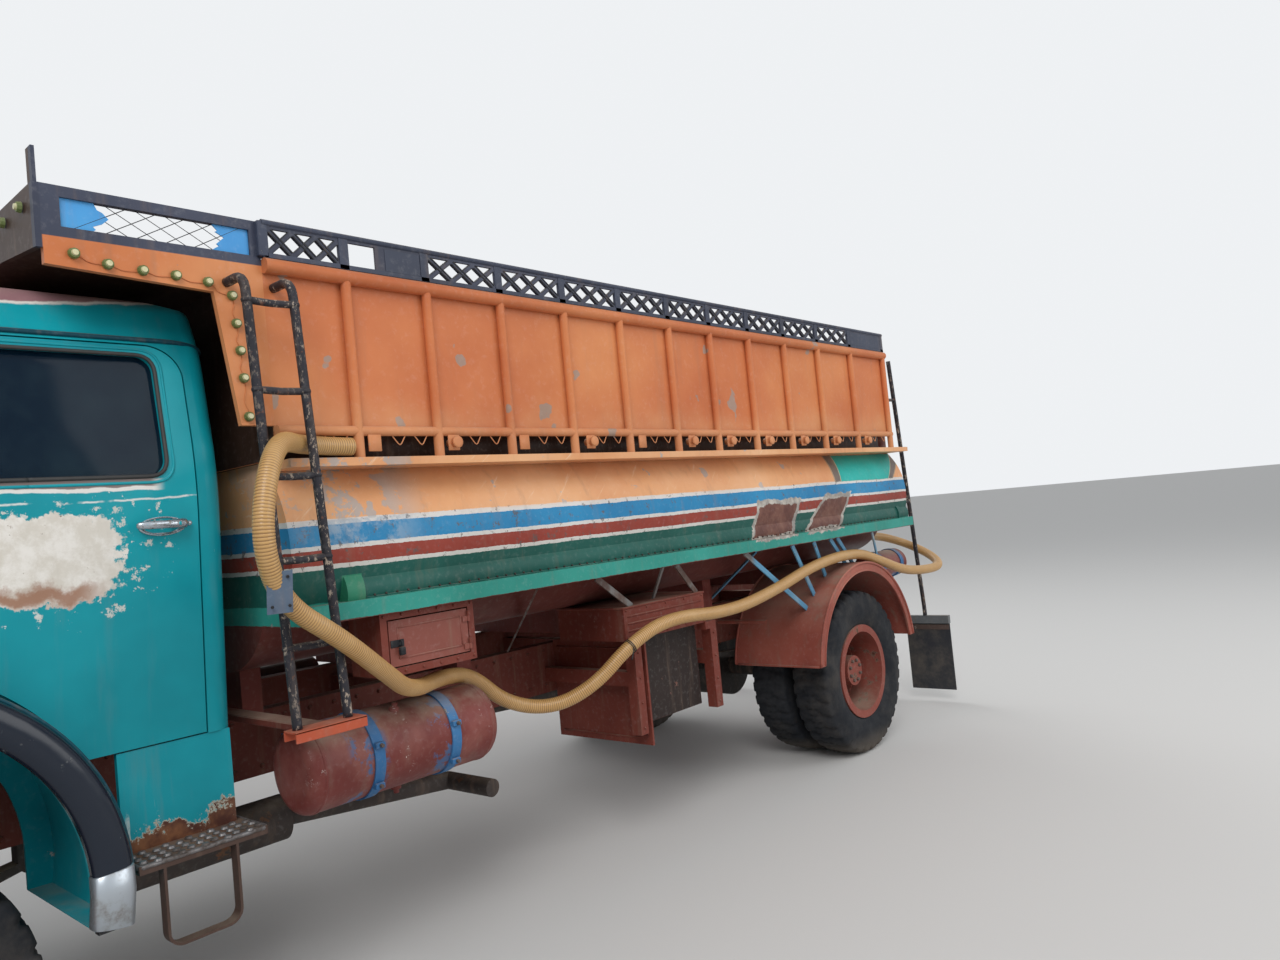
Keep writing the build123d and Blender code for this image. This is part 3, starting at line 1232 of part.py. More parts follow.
# Discharge pipes at the tank's rear: the drain with its valve, and the outlet with a nozzle
drain_x = 0
drain_z = 1330
drain_radius = 60
outlet_x = 658
outlet_z = 1321
outlet_radius = 26
outlet_end_y = 3492
hose_diameter = 64
fill_x = 1000
fill_radius = 32
fill_z = 1640
fill_top = 2690
fill_collar_radius = 45
fill_collar_length = 50
with BuildPart() as discharge_pipes:
    rod((drain_x, tank_rear_y, drain_z), (drain_x, tank_rear_y + 180, drain_z), drain_radius)
    rod((drain_x, tank_rear_y + 110, drain_z), (drain_x, tank_rear_y + 110, drain_z + 140), 18)
    rod((drain_x, tank_rear_y + 160, drain_z), (drain_x, tank_rear_y + 185, drain_z), drain_radius + 22)
    rod((outlet_x, tank_rear_y, outlet_z), (outlet_x, outlet_end_y, outlet_z), outlet_radius)
    rod((outlet_x, outlet_end_y - 45, outlet_z), (outlet_x, outlet_end_y, outlet_z), hose_diameter / 2 + 6)
    rod((outlet_x, tank_rear_y + 90, outlet_z), (outlet_x, tank_rear_y + 90, outlet_z + 90), 12)
    rod((fill_x, tank_rear_y, fill_z), (fill_x, tank_rear_y + 110, fill_z), fill_radius)
    rod((fill_x, tank_rear_y + 110, fill_z - fill_radius), (fill_x, tank_rear_y + 110, fill_top), fill_radius)
    rod((fill_x, tank_rear_y + 110, fill_top - fill_collar_length), (fill_x, tank_rear_y + 110, fill_top),
        fill_collar_radius)
finish(discharge_pipes.part, "discharge_pipes")

# Hose: laid along the left side from its open end above the ledge to the outlet
hose_route = [
    (1238, -1205, 1993),
    (1244, -1395, 1997),
    (1388, -1545, 2003),
    (1497, -1655, 1878),
    (1518, -1695, 1678),
    (1448, -1612, 1500),
    (1412, -1405, 1360),
    (1305, -1190, 1208),
    (1172, -1005, 1094),
    (1010, -745, 1092),
    (895, -510, 1052),
    (870, -310, 880),
    (960, -110, 822),
    (1085, 50, 905),
    (1180, 195, 1062),
    (1225, 440, 1153),
    (1238, 920, 1112),
    (1222, 1375, 1160),
    (1208, 1890, 1262),
    (1208, 2400, 1286),
    (1210, 2725, 1197),
    (1212, 3040, 1100),
    (1216, 3370, 1062),
    (1200, 3724, 1060),
    (1042, 3900, 1136),
    (818, 3900, 1244),
    (outlet_x, 3728, outlet_z),
    (outlet_x, outlet_end_y, outlet_z),
]
hose_points = [Vector(*point) for point in hose_route]
hose_radii = []
for before, corner, after in zip(hose_points, hose_points[1:], hose_points[2:]):
    shorter = min((corner - before).length, (after - corner).length)
    turn = (corner - before).get_angle(after - corner)
    hose_radii.append(0.45 * shorter / tan(radians(turn) / 2))
with BuildPart() as suction_hose:
    with BuildLine() as hose_path:
        FilletPolyline(*hose_points, radius=hose_radii)
    with BuildSketch(Plane(origin=hose_points[0], z_dir=hose_points[1] - hose_points[0])):
        Circle(hose_diameter / 2)
    sweep()
hose_length = sum(edge.length for edge in hose_path.edges())
hose_ratio = suction_hose.part.volume / (pi * hose_diameter**2 / 4 * hose_length)
print("hose radii", [round(radius) for radius in hose_radii])
print("hose length", round(hose_length), "tube volume over section times length", round(hose_ratio, 4))
finish(suction_hose.part, "suction_hose")

# Fuel tank on the right, on two arms from the rail
fuel_x = (-1130, -620)
fuel_y = (-1250, -350)
fuel_z = (640, 1050)
with BuildPart() as fuel_tank:
    with BuildSketch(cross_plane(fuel_y[1])) as fuel_section:
        with Locations(((fuel_x[0] + fuel_x[1]) / 2, (fuel_z[0] + fuel_z[1]) / 2)):
            RectangleRounded(fuel_x[1] - fuel_x[0], fuel_z[1] - fuel_z[0], 80)
    extrude(fuel_section.sketch, amount=fuel_y[1] - fuel_y[0])
    for y in (fuel_y[0] + 150, fuel_y[1] - 150):
        block((fuel_x[1] - 5, -rail_outer_x), (y - 30, y + 30), (rail_bottom + 40, rail_bottom + 120))
finish(fuel_tank.part, "fuel_tank")

# Exhaust: a silencer under the left rail with its tail pipe turned out
silencer_radius = 85
with BuildPart() as exhaust_pipe:
    rod((620, -1900, 640), (620, -1250, 640), silencer_radius)
    rod((620, -1250, 640), (620, -470, 560), 38)
    rod((620, -470, 560), (900, -450, 553), 38)
    with Locations((620, -470, 560)):
        Sphere(38)
    block((rail_outer_x, 600), (-1620, -1580), (rail_bottom + 20, rail_bottom + 60))
    block((560, 600), (-1620, -1580), (700, rail_bottom + 60))
finish(exhaust_pipe.part, "exhaust_pipe")
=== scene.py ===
"""The looks of a short-bonnet water tanker truck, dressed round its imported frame, in metres."""
import json
import math

import bmesh
import bpy
from mathutils import Matrix, Vector

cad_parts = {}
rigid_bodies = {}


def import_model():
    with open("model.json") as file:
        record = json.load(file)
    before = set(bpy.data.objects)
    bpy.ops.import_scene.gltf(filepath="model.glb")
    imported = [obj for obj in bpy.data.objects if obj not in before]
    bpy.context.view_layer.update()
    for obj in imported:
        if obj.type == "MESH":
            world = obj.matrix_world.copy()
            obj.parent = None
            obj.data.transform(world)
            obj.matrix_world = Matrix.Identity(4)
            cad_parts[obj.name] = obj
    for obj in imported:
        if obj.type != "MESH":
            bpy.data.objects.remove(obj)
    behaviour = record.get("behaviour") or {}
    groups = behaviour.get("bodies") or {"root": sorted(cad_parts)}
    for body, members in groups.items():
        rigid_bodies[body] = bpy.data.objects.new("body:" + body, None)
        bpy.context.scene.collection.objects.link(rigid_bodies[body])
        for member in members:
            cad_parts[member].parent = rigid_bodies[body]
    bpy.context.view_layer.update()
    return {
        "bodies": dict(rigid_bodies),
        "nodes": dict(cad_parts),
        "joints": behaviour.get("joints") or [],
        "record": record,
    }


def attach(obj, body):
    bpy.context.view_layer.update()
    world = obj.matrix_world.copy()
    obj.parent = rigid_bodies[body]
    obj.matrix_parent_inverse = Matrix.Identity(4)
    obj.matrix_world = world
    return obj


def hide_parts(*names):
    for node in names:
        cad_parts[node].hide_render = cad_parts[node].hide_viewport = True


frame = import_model()
cad = frame["nodes"]

# Studio: a pale floor under even light, seen from beside the truck's left front corner at the
# height of a standing person, with the slight tilt of a hand-held view.
scene = bpy.context.scene
scene.view_settings.view_transform = "Standard"
right = Vector((0.75136, 0.65295, -0.09546))
up = Vector((0.09566, 0.03536, 0.99479))
ahead = Vector((-0.65293, 0.75657, 0.03589))
view_lens = bpy.data.cameras.new("view")
view_lens.lens = 25.875
view_lens.sensor_width = 36
view_lens.clip_end = 400
viewer = bpy.data.objects.new("view", view_lens)
viewer.matrix_world = Matrix(((right.x, up.x, -ahead.x, 4.08), (right.y, up.y, -ahead.y, -2.979),
                              (right.z, up.z, -ahead.z, 1.666), (0, 0, 0, 1)))
scene.collection.objects.link(viewer)
scene.camera = viewer


class Value:
    """What a material works out at each place, open to plain sums with numbers and other values."""

    def __init__(self, socket):
        self.socket = socket
        self.tree = socket.id_data

    def __add__(self, other):
        return calc("ADD", self, other)

    def __sub__(self, other):
        return calc("SUBTRACT", self, other)

    def __rsub__(self, other):
        return calc("SUBTRACT", other, self)

    def __mul__(self, other):
        return calc("MULTIPLY", self, other)

    def __truediv__(self, other):
        return calc("DIVIDE", self, other)

    def __pow__(self, other):
        return calc("POWER", self, other)

    def __abs__(self):
        return calc("ABSOLUTE", self)

    __radd__ = __add__
    __rmul__ = __mul__


def put(node, inputs):
    """Link inputs of a node to values or sockets, and set the plain ones."""
    for key, value in inputs.items():
        value = value.socket if isinstance(value, Value) else value
        if isinstance(value, bpy.types.NodeSocket):
            node.id_data.links.new(value, node.inputs[key])
        else:
            node.inputs[key].default_value = value


def joined(tree, kind, inputs, **settings):
    """Add one node to a tree, set its options, and link or set its inputs."""
    node = tree.nodes.new(kind)
    for key, value in settings.items():
        setattr(node, key, value)
    put(node, inputs)
    return node


def worked(near, kind, inputs, out=0, **settings):
    """One output of a new node, which goes into the tree of a value near it."""
    return Value(joined(near.tree, kind, inputs, **settings).outputs[out])


def calc(operation, *parts):
    """The result of one sum on values or numbers."""
    near = next(part for part in parts if isinstance(part, Value))
    return worked(near, "ShaderNodeMath", dict(enumerate(parts)), operation=operation)


def greater(first, second):
    """The greater of two values at each place."""
    return calc("MAXIMUM", first, second)


def lesser(first, second):
    """The lesser of two values at each place."""
    return calc("MINIMUM", first, second)


def split(vector):
    """The three parts of a vector."""
    return [Value(part) for part in joined(vector.tree, "ShaderNodeSeparateXYZ", {0: vector}).outputs]


def rise(value, low, high):
    """0 below low and 1 above high, smooth in between."""
    return worked(value, "ShaderNodeMapRange", {"Value": value, "From Min": low, "From Max": high},
                  interpolation_type="SMOOTHSTEP")


def band(value, low, high, soft=0.003):
    """1 between low and high, 0 outside."""
    return rise(value, low - soft, low + soft) * (1.0 - rise(value, high - soft, high + soft))


def tint(share, under, over, mode="MIX"):
    """One colour laid over another by a share."""
    near = next(part for part in (share, under, over) if isinstance(part, Value))
    under, over = (colour if isinstance(colour, Value) else (*colour, 1) for colour in (under, over))
    return worked(near, "ShaderNodeMix", {0: share, 6: under, 7: over}, out=2, data_type="RGBA",
                  blend_type=mode)


def grain(where, scale, detail=3.0, rough=0.6, stretch=None, offset=0.0):
    """Noise from 0 to 1 over the surface, drawn out along an axis where stretch says so."""
    if stretch or offset:
        where = worked(where, "ShaderNodeMapping", {"Vector": where, "Location": (offset, offset, offset),
                                                    "Scale": stretch or (1, 1, 1)})
    return worked(where, "ShaderNodeTexNoise", {"Vector": where, "Scale": scale, "Detail": detail,
                                                "Roughness": rough})


def new_finish(name):
    """A new material with its shader and its object coordinates."""
    material = bpy.data.materials.new(name)
    material.use_nodes = True
    nodes = material.node_tree.nodes
    return material, nodes["Principled BSDF"], Value(nodes.new("ShaderNodeTexCoord").outputs["Object"])


def relief(shader, height, distance):
    """Bump on a shader from a height."""
    put(shader, {"Normal": worked(height, "ShaderNodeBump", {"Height": height, "Distance": distance})})


floor_mesh = bpy.data.meshes.new("studio_floor")
floor_mesh.from_pydata([(-150, -150, 0), (150, -150, 0), (150, 150, 0), (-150, 150, 0)], [], [(0, 1, 2, 3)])
studio_floor = bpy.data.objects.new("studio_floor", floor_mesh)
scene.collection.objects.link(studio_floor)
floor_finish, shader, where = new_finish("studio_floor")
put(shader, {"Base Color": (0.68, 0.67, 0.65, 1), "Roughness": 0.9})
floor_mesh.materials.append(floor_finish)

world = bpy.data.worlds.new("studio")
scene.world = world
world.use_nodes = True
tree = world.node_tree
light_path = tree.nodes.new("ShaderNodeLightPath")
rays = [Value(light_path.outputs[f"Is {kind} Ray"]) for kind in ("Camera", "Glossy", "Transmission")]
seen = greater(rays[0], greater(rays[1], rays[2]))
soft_light = joined(tree, "ShaderNodeBackground", {"Color": (0.93, 0.96, 1.0, 1), "Strength": 0.52})
backdrop = joined(tree, "ShaderNodeBackground", {"Color": (0.86, 0.88, 0.90, 1), "Strength": 1.0})
world_mix = joined(tree, "ShaderNodeMixShader", {0: seen, 1: soft_light.outputs[0], 2: backdrop.outputs[0]})
tree.links.new(world_mix.outputs[0], tree.nodes["World Output"].inputs["Surface"])
for name, place, aim, size, power in (("key", (9, -9, 11), (0, 0, 1), 7, 1080),
                                      ("fill", (12, 6, 6), (0, 1, 1), 8, 470),
                                      ("back", (-8, 6, 9), (0, 0, 1), 7, 360)):
    lamp = bpy.data.lights.new(name, "AREA")
    lamp.size = size
    lamp.energy = power
    lamp_object = bpy.data.objects.new(name, lamp)
    lamp_object.matrix_world = (Matrix.Translation(place) @
                                (Vector(aim) - Vector(place)).to_track_quat("-Z", "Y").to_matrix().to_4x4())
    scene.collection.objects.link(lamp_object)


def piece(name, points, faces, material, body, smooth=True, uv=None):
    """A new mesh piece with its material, riding on a body."""
    mesh = bpy.data.meshes.new(name)
    mesh.from_pydata([tuple(p) for p in points], [], faces)
    mesh.materials.append(material)
    if smooth:
        mesh.polygons.foreach_set("use_smooth", [True] * len(mesh.polygons))
    if uv:
        layer = mesh.uv_layers.new(name="along")
        for loop in mesh.loops:
            layer.data[loop.index].uv = uv[loop.vertex_index]
    mesh.update()
    made = bpy.data.objects.new(name, mesh)
    scene.collection.objects.link(made)
    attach(made, body)
    return made


def facing_out(made):
    """Turn every face of a closed piece outwards."""
    shape = bmesh.new()
    shape.from_mesh(made.data)
    bmesh.ops.recalc_face_normals(shape, faces=shape.faces)
    shape.to_mesh(made.data)
    shape.free()
    return made


def formed(name, part, material, body="chassis", smooth=True):
    """A closed piece from points and faces, its faces turned outwards."""
    return facing_out(piece(name, *part, material, body, smooth=smooth))


def turns(count):
    """Angles at even steps once round."""
    return [math.tau * number / count for number in range(count)]


# Hose: a ribbed tan suction hose, 64 mm thick. It is pushed over the outlet pipe at the rear,
# lies over the fender, past the locker and over the reservoir, and hooks over the ladder with an
# open end.
hose_route = [
    (1.238, -1.205, 1.993), (1.244, -1.395, 1.997), (1.388, -1.545, 2.003), (1.497, -1.655, 1.878),
    (1.518, -1.695, 1.678), (1.448, -1.612, 1.500), (1.412, -1.405, 1.360), (1.305, -1.190, 1.208),
    (1.172, -1.005, 1.094), (1.010, -0.745, 1.092), (0.895, -0.510, 1.052), (0.870, -0.310, 0.880),
    (0.960, -0.110, 0.822), (1.085, 0.050, 0.905), (1.180, 0.195, 1.062), (1.225, 0.440, 1.153),
    (1.238, 0.920, 1.112), (1.222, 1.375, 1.160), (1.208, 1.890, 1.262), (1.208, 2.400, 1.286),
    (1.210, 2.725, 1.197), (1.212, 3.040, 1.100), (1.216, 3.370, 1.062), (1.200, 3.724, 1.060),
    (1.042, 3.900, 1.136), (0.818, 3.900, 1.244), (0.658, 3.728, 1.321), (0.658, 3.492, 1.321),
]
hose_radius = 0.032
rib_depth = 0.0015
line = bpy.data.curves.new("hose_line", "CURVE")
line.dimensions = "3D"
line.resolution_u = 24
spline = line.splines.new("NURBS")
spline.points.add(len(hose_route) - 1)
for point, place in zip(spline.points, hose_route):
    point.co = (*place, 1)
spline.order_u = 3
spline.use_endpoint_u = True
line_object = bpy.data.objects.new("hose_line", line)
scene.collection.objects.link(line_object)
line_mesh = bpy.data.meshes.new_from_object(line_object.evaluated_get(bpy.context.evaluated_depsgraph_get()))
hose_path = [vertex.co.copy() for vertex in line_mesh.vertices]
bpy.data.objects.remove(line_object)


def even_steps(path, step):
    """Points at even steps along a path, with the length so far at each."""
    lengths = [0.0]
    for first, second in zip(path, path[1:]):
        lengths.append(lengths[-1] + (second - first).length)
    count = max(2, round(lengths[-1] / step))
    stops, index = [], 0
    for number in range(count + 1):
        target = lengths[-1] * number / count
        while index < len(lengths) - 2 and lengths[index + 1] < target:
            index += 1
        share = (target - lengths[index]) / max(lengths[index + 1] - lengths[index], 1e-9)
        stops.append((path[index].lerp(path[index + 1], share), target))
    return stops


def tube_along(path, radius_at, step, sides=16):
    """Points, faces and uv of a closed tube along a path, its radius given by the length so far."""
    stops = even_steps(path, step)
    points, faces, uv = [], [], []
    side = Vector((0, 0, 1))
    for index, (place, so_far) in enumerate(stops):
        before = stops[max(index - 1, 0)][0]
        after = stops[min(index + 1, len(stops) - 1)][0]
        run = (after - before).normalized()
        side = run.orthogonal() if abs(side.dot(run)) > 0.99 else side
        side = (side - run * side.dot(run)).normalized()
        other = run.cross(side)
        radius = radius_at(so_far)
        for turn in range(sides):
            angle = 2 * math.pi * turn / sides
            points.append(place + radius * (math.cos(angle) * side + math.sin(angle) * other))
            uv.append((so_far, turn / sides))
    for index in range(len(stops) - 1):
        for turn in range(sides):
            a, b = index * sides + turn, index * sides + (turn + 1) % sides
            faces.append((a, b, b + sides, a + sides))
    faces.append(tuple(reversed(range(sides))))
    faces.append(tuple(len(points) - sides + turn for turn in range(sides)))
    return points, faces, uv


hose_length = even_steps(hose_path, 0.1)[-1][1]
rib_pitch = hose_length / 792
hose_finish, shader, where = new_finish("ribbed_hose")
along = split(worked(where, "ShaderNodeUVMap", {}))[0]
wear = grain(where, 9, 5)
valley = calc("PINGPONG", along, rib_pitch / 2) / (rib_pitch / 2)
# The grooves between the ribs are painted dark brown: painted shade in the creases.
colour = tint(rise(valley, 0.35, 1.0), (0.54, 0.315, 0.112), (0.24, 0.12, 0.04))
colour = tint(rise(wear, 0.42, 0.75) * 0.6, colour, (0.52, 0.32, 0.13))
colour = tint(rise(grain(where, 3.5, 6, 0.7), 0.58, 0.7) * 0.55, colour, (0.33, 0.25, 0.17))
put(shader, {"Base Color": colour, "Roughness": 0.42, "Coat Weight": 0.15})
relief(shader, wear, 0.002)
points, faces, uv = tube_along(hose_path, lambda s: hose_radius - rib_depth *
                               (0.5 - 0.5 * math.cos(2 * math.pi * s / rib_pitch)) ** 2, rib_pitch / 4, 18)
hose = piece("hose", points, faces, hose_finish, "chassis", uv=uv)
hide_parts("suction_hose")


# Ladder frame: pressed steel channels riveted to cross members, brushed with red oxide that has
# faded to brown-red and carries road dust on every upward face.
dust = (0.36, 0.29, 0.22)


def old_paint(finish, colour, primer=(0.45, 0.43, 0.40), rust=(0.13, 0.05, 0.025), chips=0.5, chip_scale=7,
              streaks=0.3, dusty=0.5, rough=0.5, bump=1.0, seed=0.0, bloom=0.05):
    """Sun-worn brushed paint, mottled, with chips to primer and rust, run-down dirt and dust.

    The finish is a name, or what new_finish gave where the colour is a value worked out first.
    """
    material, shader, where = new_finish(finish) if isinstance(finish, str) else finish
    tone = grain(where, 1.7, 4, 0.6, offset=seed)
    fine = grain(where, 45, 3, 0.6, offset=seed)
    shade = worked(where, "ShaderNodeMapRange", {"Value": tone, "From Min": 0.3, "From Max": 0.72,
                                                 "To Min": 0.36, "To Max": 0.64})
    painted = tint(1.0, colour, worked(where, "ShaderNodeCombineColor", {0: shade, 1: shade, 2: shade}),
                   "SOFT_LIGHT")
    painted = tint(rise(fine, 0.5, 0.8) * bloom, painted, (0.9, 0.88, 0.85))
    run_down = grain(where, 5.5, 4, 0.6, stretch=(3.2, 3.2, 0.32), offset=seed + 3)
    painted = tint(rise(run_down, 0.52, 0.78) * streaks, painted,
                   tuple(0.55 * c + 0.45 * d for c, d in zip(rust, dust)))
    chip = grain(where, chip_scale, 9, 0.72, offset=seed + 7)
    level = 0.72 - 0.16 * chips
    bare = rise(chip, level, level + 0.018)
    deep = rise(chip, level + 0.035, level + 0.06)
    painted = tint(bare, painted, primer)
    painted = tint(deep, painted, rust)
    top = split(worked(where, "ShaderNodeNewGeometry", {}, out="Normal"))
    settled = rise(top[2], 0.35, 0.95) * rise(grain(where, 6, 5, 0.65, offset=seed + 11), 0.25, 0.7)
    painted = tint(settled * dusty, painted, dust)
    roughness = rough + greater(bare, settled) * 0.3
    put(shader, {"Base Color": painted, "Roughness": roughness, "Specular IOR Level": 0.2})
    height = tone * 2.0 - (bare * 0.12 + deep * 0.1)
    height = height + fine * 0.06
    relief(shader, height, 0.004 * bump)
    return material


def dress(material, *nodes):
    """Give CAD nodes their material."""
    for node in nodes:
        cad[node].data.materials.clear()
        cad[node].data.materials.append(material)


frame_finish = old_paint("red_oxide", (0.16, 0.042, 0.03), primer=(0.14, 0.07, 0.055), chips=0.5,
                         dusty=0.55, rough=0.62, streaks=0.5)
dress(frame_finish, "frame_rails", "cross_members")
dress(old_paint("bearer_red", (0.19, 0.045, 0.035), primer=(0.17, 0.09, 0.07), chips=0.5, dusty=0.6,
                rough=0.6, seed=5), "tank_bearers")

# Running gear: cast and forged steel, oily under road dust, and the engine block with its gearbox.
dress(old_paint("oily_iron", (0.055, 0.048, 0.043), primer=(0.16, 0.12, 0.09), chips=0.6, dusty=0.8,
                rough=0.6, streaks=0.4, seed=9), "front_axle_beam", "knuckle_left", "knuckle_right",
      "leaf_springs", "rear_axle_housing", "propshaft")
dress(old_paint("engine_iron", (0.075, 0.085, 0.09), chips=0.5, dusty=0.7, rough=0.5, seed=12),
      "engine_block")
dress(old_paint("silencer_steel", (0.05, 0.04, 0.036), primer=(0.12, 0.065, 0.04), chips=0.7, dusty=0.4,
                rough=0.65, seed=14), "exhaust_pipe")

# Tyres: cross-ply truck tyres with deep slanted lugs that run over the shoulder, dusty grey-black.
# Each is turned from its section, with the tread cut in as it goes round.
axle_front_y = -2.685
axle_rear_y = 2.415
wheel_z = 0.517
tyre_section = [(0.0995, 0.2626), (0.1005, 0.298), (0.108, 0.306), (0.119, 0.33), (0.1265, 0.356),
                (0.1285, 0.362), (0.1285, 0.367), (0.1298, 0.372), (0.13, 0.395), (0.1296, 0.42),
                (0.1288, 0.424), (0.1288, 0.43), (0.1265, 0.446), (0.1225, 0.462), (0.12, 0.474),
                (0.118, 0.486), (0.115, 0.497), (0.106, 0.5055), (0.092, 0.5105), (0.074, 0.5135),
                (0.056, 0.5152), (0.04, 0.516), (0.028, 0.5164), (0.016, 0.5168), (0.0, 0.517)]
lug_count = 34
lug_depth = 0.013


def tread_depth(x, angle):
    """How far the tread is cut down at a place across it and round it."""
    across = abs(x)
    if across < 0.014:
        return 0.0
    if across < 0.030:
        return lug_depth * 0.9 if (angle * lug_count / math.tau * 2 + 0.3) % 1 < 0.25 else 0.0
    if across < 0.036:
        return lug_depth
    turn = angle * lug_count / math.tau + 0.42 * across / 0.1 + (0.5 if x > 0 else 0)
    return lug_depth if turn % 1 < 0.36 else 0.0


def tyre_mesh(centre_x, axle_y, start):
    """Points and faces of one tyre, their numbers counted on from start."""
    sections = [(-x, r) for x, r in tyre_section] + [(x, r) for x, r in reversed(tyre_section[:-1])]
    steps = 306
    points, faces = [], []
    for turn in range(steps):
        angle = math.tau * turn / steps
        for x, r in sections:
            cut = tread_depth(x, angle) * min(1, max(0, (r - 0.455) / 0.03)) if r > 0.455 else 0
            reach = r - cut
            points.append((centre_x + x * (1 - 0.35 * cut), axle_y + reach * math.sin(angle),
                           wheel_z + reach * math.cos(angle)))
    count = len(sections)
    for turn in range(steps):
        ahead_turn = (turn + 1) % steps
        for index in range(count):
            after = (index + 1) % count
            faces.append((start + turn * count + index, start + turn * count + after,
                          start + ahead_turn * count + after, start + ahead_turn * count + index))
    return points, faces


rubber, shader, where = new_finish("tyre_rubber")
across = split(where)
grey = tint(rise(grain(where, 7, 6, 0.7), 0.35, 0.7), (0.011, 0.013, 0.017), (0.03, 0.031, 0.034))
dusted = rise(grain(where, 3, 5, 0.7, offset=4), 0.45, 0.75) * 0.18
low = (1.0 - rise(across[2], 0.02, 0.16)) * 0.42
grey = tint(greater(dusted, low), grey, (0.2, 0.165, 0.13))
put(shader, {"Base Color": grey, "Roughness": 0.78, "Specular IOR Level": 0.2})
relief(shader, grain(where, 120, 3, 0.6), 0.001)
for node, body, places, axle_y, slot_name in (
        ("front_tyre_left", "front_wheel_left", [0.965], axle_front_y, "tyre_front"),
        ("front_tyre_right", "front_wheel_right", [-0.965], axle_front_y, "tyre_front"),
        ("rear_tyres_left", "rear_wheels_left", [0.76, 1.06], axle_rear_y, "tyre_rear"),
        ("rear_tyres_right", "rear_wheels_right", [-0.76, -1.06], axle_rear_y, "tyre_rear")):
    points, faces = [], []
    for centre_x in places:
        more_points, more_faces = tyre_mesh(centre_x, axle_y, len(points))
        points += more_points
        faces += more_faces
    tyre = formed(node.replace("tyre", "treaded_tyre"), (points, faces), rubber, body)
    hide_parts(node)

# Wheels: ten-stud disc wheels in red-brown paint gone rusty, with their nuts and hub bolts.
wheel_finish = old_paint("wheel_red", (0.235, 0.062, 0.045), primer=(0.2, 0.12, 0.09),
                         rust=(0.1, 0.045, 0.03), chips=0.75, dusty=0.6, rough=0.6, streaks=0.35, seed=20)
dress(wheel_finish, "front_wheel_left", "front_wheel_right", "rear_wheels_left", "rear_wheels_right")
nut_finish = old_paint("wheel_nut", (0.1, 0.07, 0.06), primer=(0.24, 0.2, 0.17), chips=0.8, rough=0.5,
                       seed=23)


def add_prism(points, faces, centre, axis_x, radius, low, high, sides=6, cap=0.8, turn=0.0):
    """Add a short many-sided bar along X, its outer end drawn in to a cap."""
    base = len(points)
    rings = [(low, 1.0), (low + (high - low) * 0.78, 1.0), (high, cap)]
    for place, share in rings:
        for side in range(sides):
            angle = math.tau * side / sides + turn
            points.append((axis_x * place, centre[0] + radius * share * math.cos(angle),
                           centre[1] + radius * share * math.sin(angle)))
    for ring in range(len(rings) - 1):
        for side in range(sides):
            a, b = base + ring * sides + side, base + ring * sides + (side + 1) % sides
            faces.append((a, b, b + sides, a + sides) if axis_x > 0 else (b, a, a + sides, b + sides))
    last = tuple(base + (len(rings) - 1) * sides + side for side in range(sides))
    first = tuple(base + side for side in reversed(range(sides)))
    faces += [last, first] if axis_x > 0 else [tuple(reversed(last)), tuple(reversed(first))]


def wheel_nuts(name, body, side, axle_y, face, hub_face, nut_ring, hub_ring):
    """Ten wheel nuts on their studs and eight hub bolts, all facing outwards."""
    points, faces = [], []
    for number in range(10):
        angle = math.tau * number / 10
        centre = (axle_y + nut_ring * math.cos(angle), wheel_z + nut_ring * math.sin(angle))
        add_prism(points, faces, centre, side, 0.0195, face, face + 0.024, turn=angle)
        add_prism(points, faces, centre, side, 0.0105, face + 0.02, face + 0.040, sides=10)
    for number in range(8):
        angle = math.tau * (number + 0.5) / 8
        centre = (axle_y + hub_ring * math.cos(angle), wheel_z + hub_ring * math.sin(angle))
        add_prism(points, faces, centre, side, 0.011, hub_face, hub_face + 0.014, turn=angle)
    return piece(name, points, faces, nut_finish, body, smooth=False)


for side, name in ((1, "left"), (-1, "right")):
    wheel_nuts(f"front_nuts_{name}", f"front_wheel_{name}", side, axle_front_y, 1.063, 1.125, 0.1425, 0.062)
    wheel_nuts(f"rear_nuts_{name}", f"rear_wheels_{name}", side, axle_rear_y, 0.948, 1.105, 0.168, 0.066)

# Cab: a welded steel cab in turquoise, repainted by brush. The roof has a patch of bare mauve
# primer with a chalky edge. The gutter is painted dark blue, partly its own paint and partly painted shade
# standing for the shadow line along the tops of the doors, and the paint turns darker teal low down.
teal = (0.004, 0.262, 0.315)


def cab_paint(name, seed, extra=None):
    """Turquoise paint, lighter where the sun has bleached it, with whatever extra marks it carries."""
    material, shader, where = new_finish(name)
    x, y, z = split(where)
    colour = tint(rise(grain(where, 1.2, 3, 0.5, offset=seed), 0.35, 0.7), teal, (0.01, 0.325, 0.385))
    # The paint turns darker teal towards the bottom.
    colour = tint(rise(z, 1.55, 1.05) * 0.35, colour, (0.003, 0.2, 0.235))
    edge_noise = (grain(where, 5, 6, 0.6, offset=seed) - 0.5) * 0.1
    if extra:
        colour = extra(where, y, z, colour, edge_noise)
    return old_paint((material, shader, where), colour, primer=(0.52, 0.5, 0.47), rust=(0.16, 0.06, 0.03),
                     chips=0.05, chip_scale=9, streaks=0.1, dusty=0.25, rough=0.3, bump=0.5, seed=seed,
                     bloom=0.0)


def roof_marks(where, y, z, colour, edge_noise):
    """Bare primer over the roof with a chalky rim, and scuffs down the rear pillar."""
    height = z + edge_noise * 0.5 + y * -0.1
    bare = rise(height, 2.673, 2.679)
    rim = rise(height, 2.662, 2.67)
    colour = tint(rim, colour, (0.72, 0.68, 0.62))
    primer = tint(rise(grain(where, 6, 6, 0.7), 0.4, 0.7), (0.27, 0.135, 0.15), (0.34, 0.2, 0.19))
    colour = tint(bare, colour, primer)
    pillar = band(y, -1.72, -1.56) * band(z, 1.35, 1.85, 0.1)
    scuffs = rise(grain(where, 26, 6, 0.75, (1, 1, 0.25)), 0.66, 0.7)
    return tint(scuffs * pillar, colour, (0.6, 0.62, 0.6))


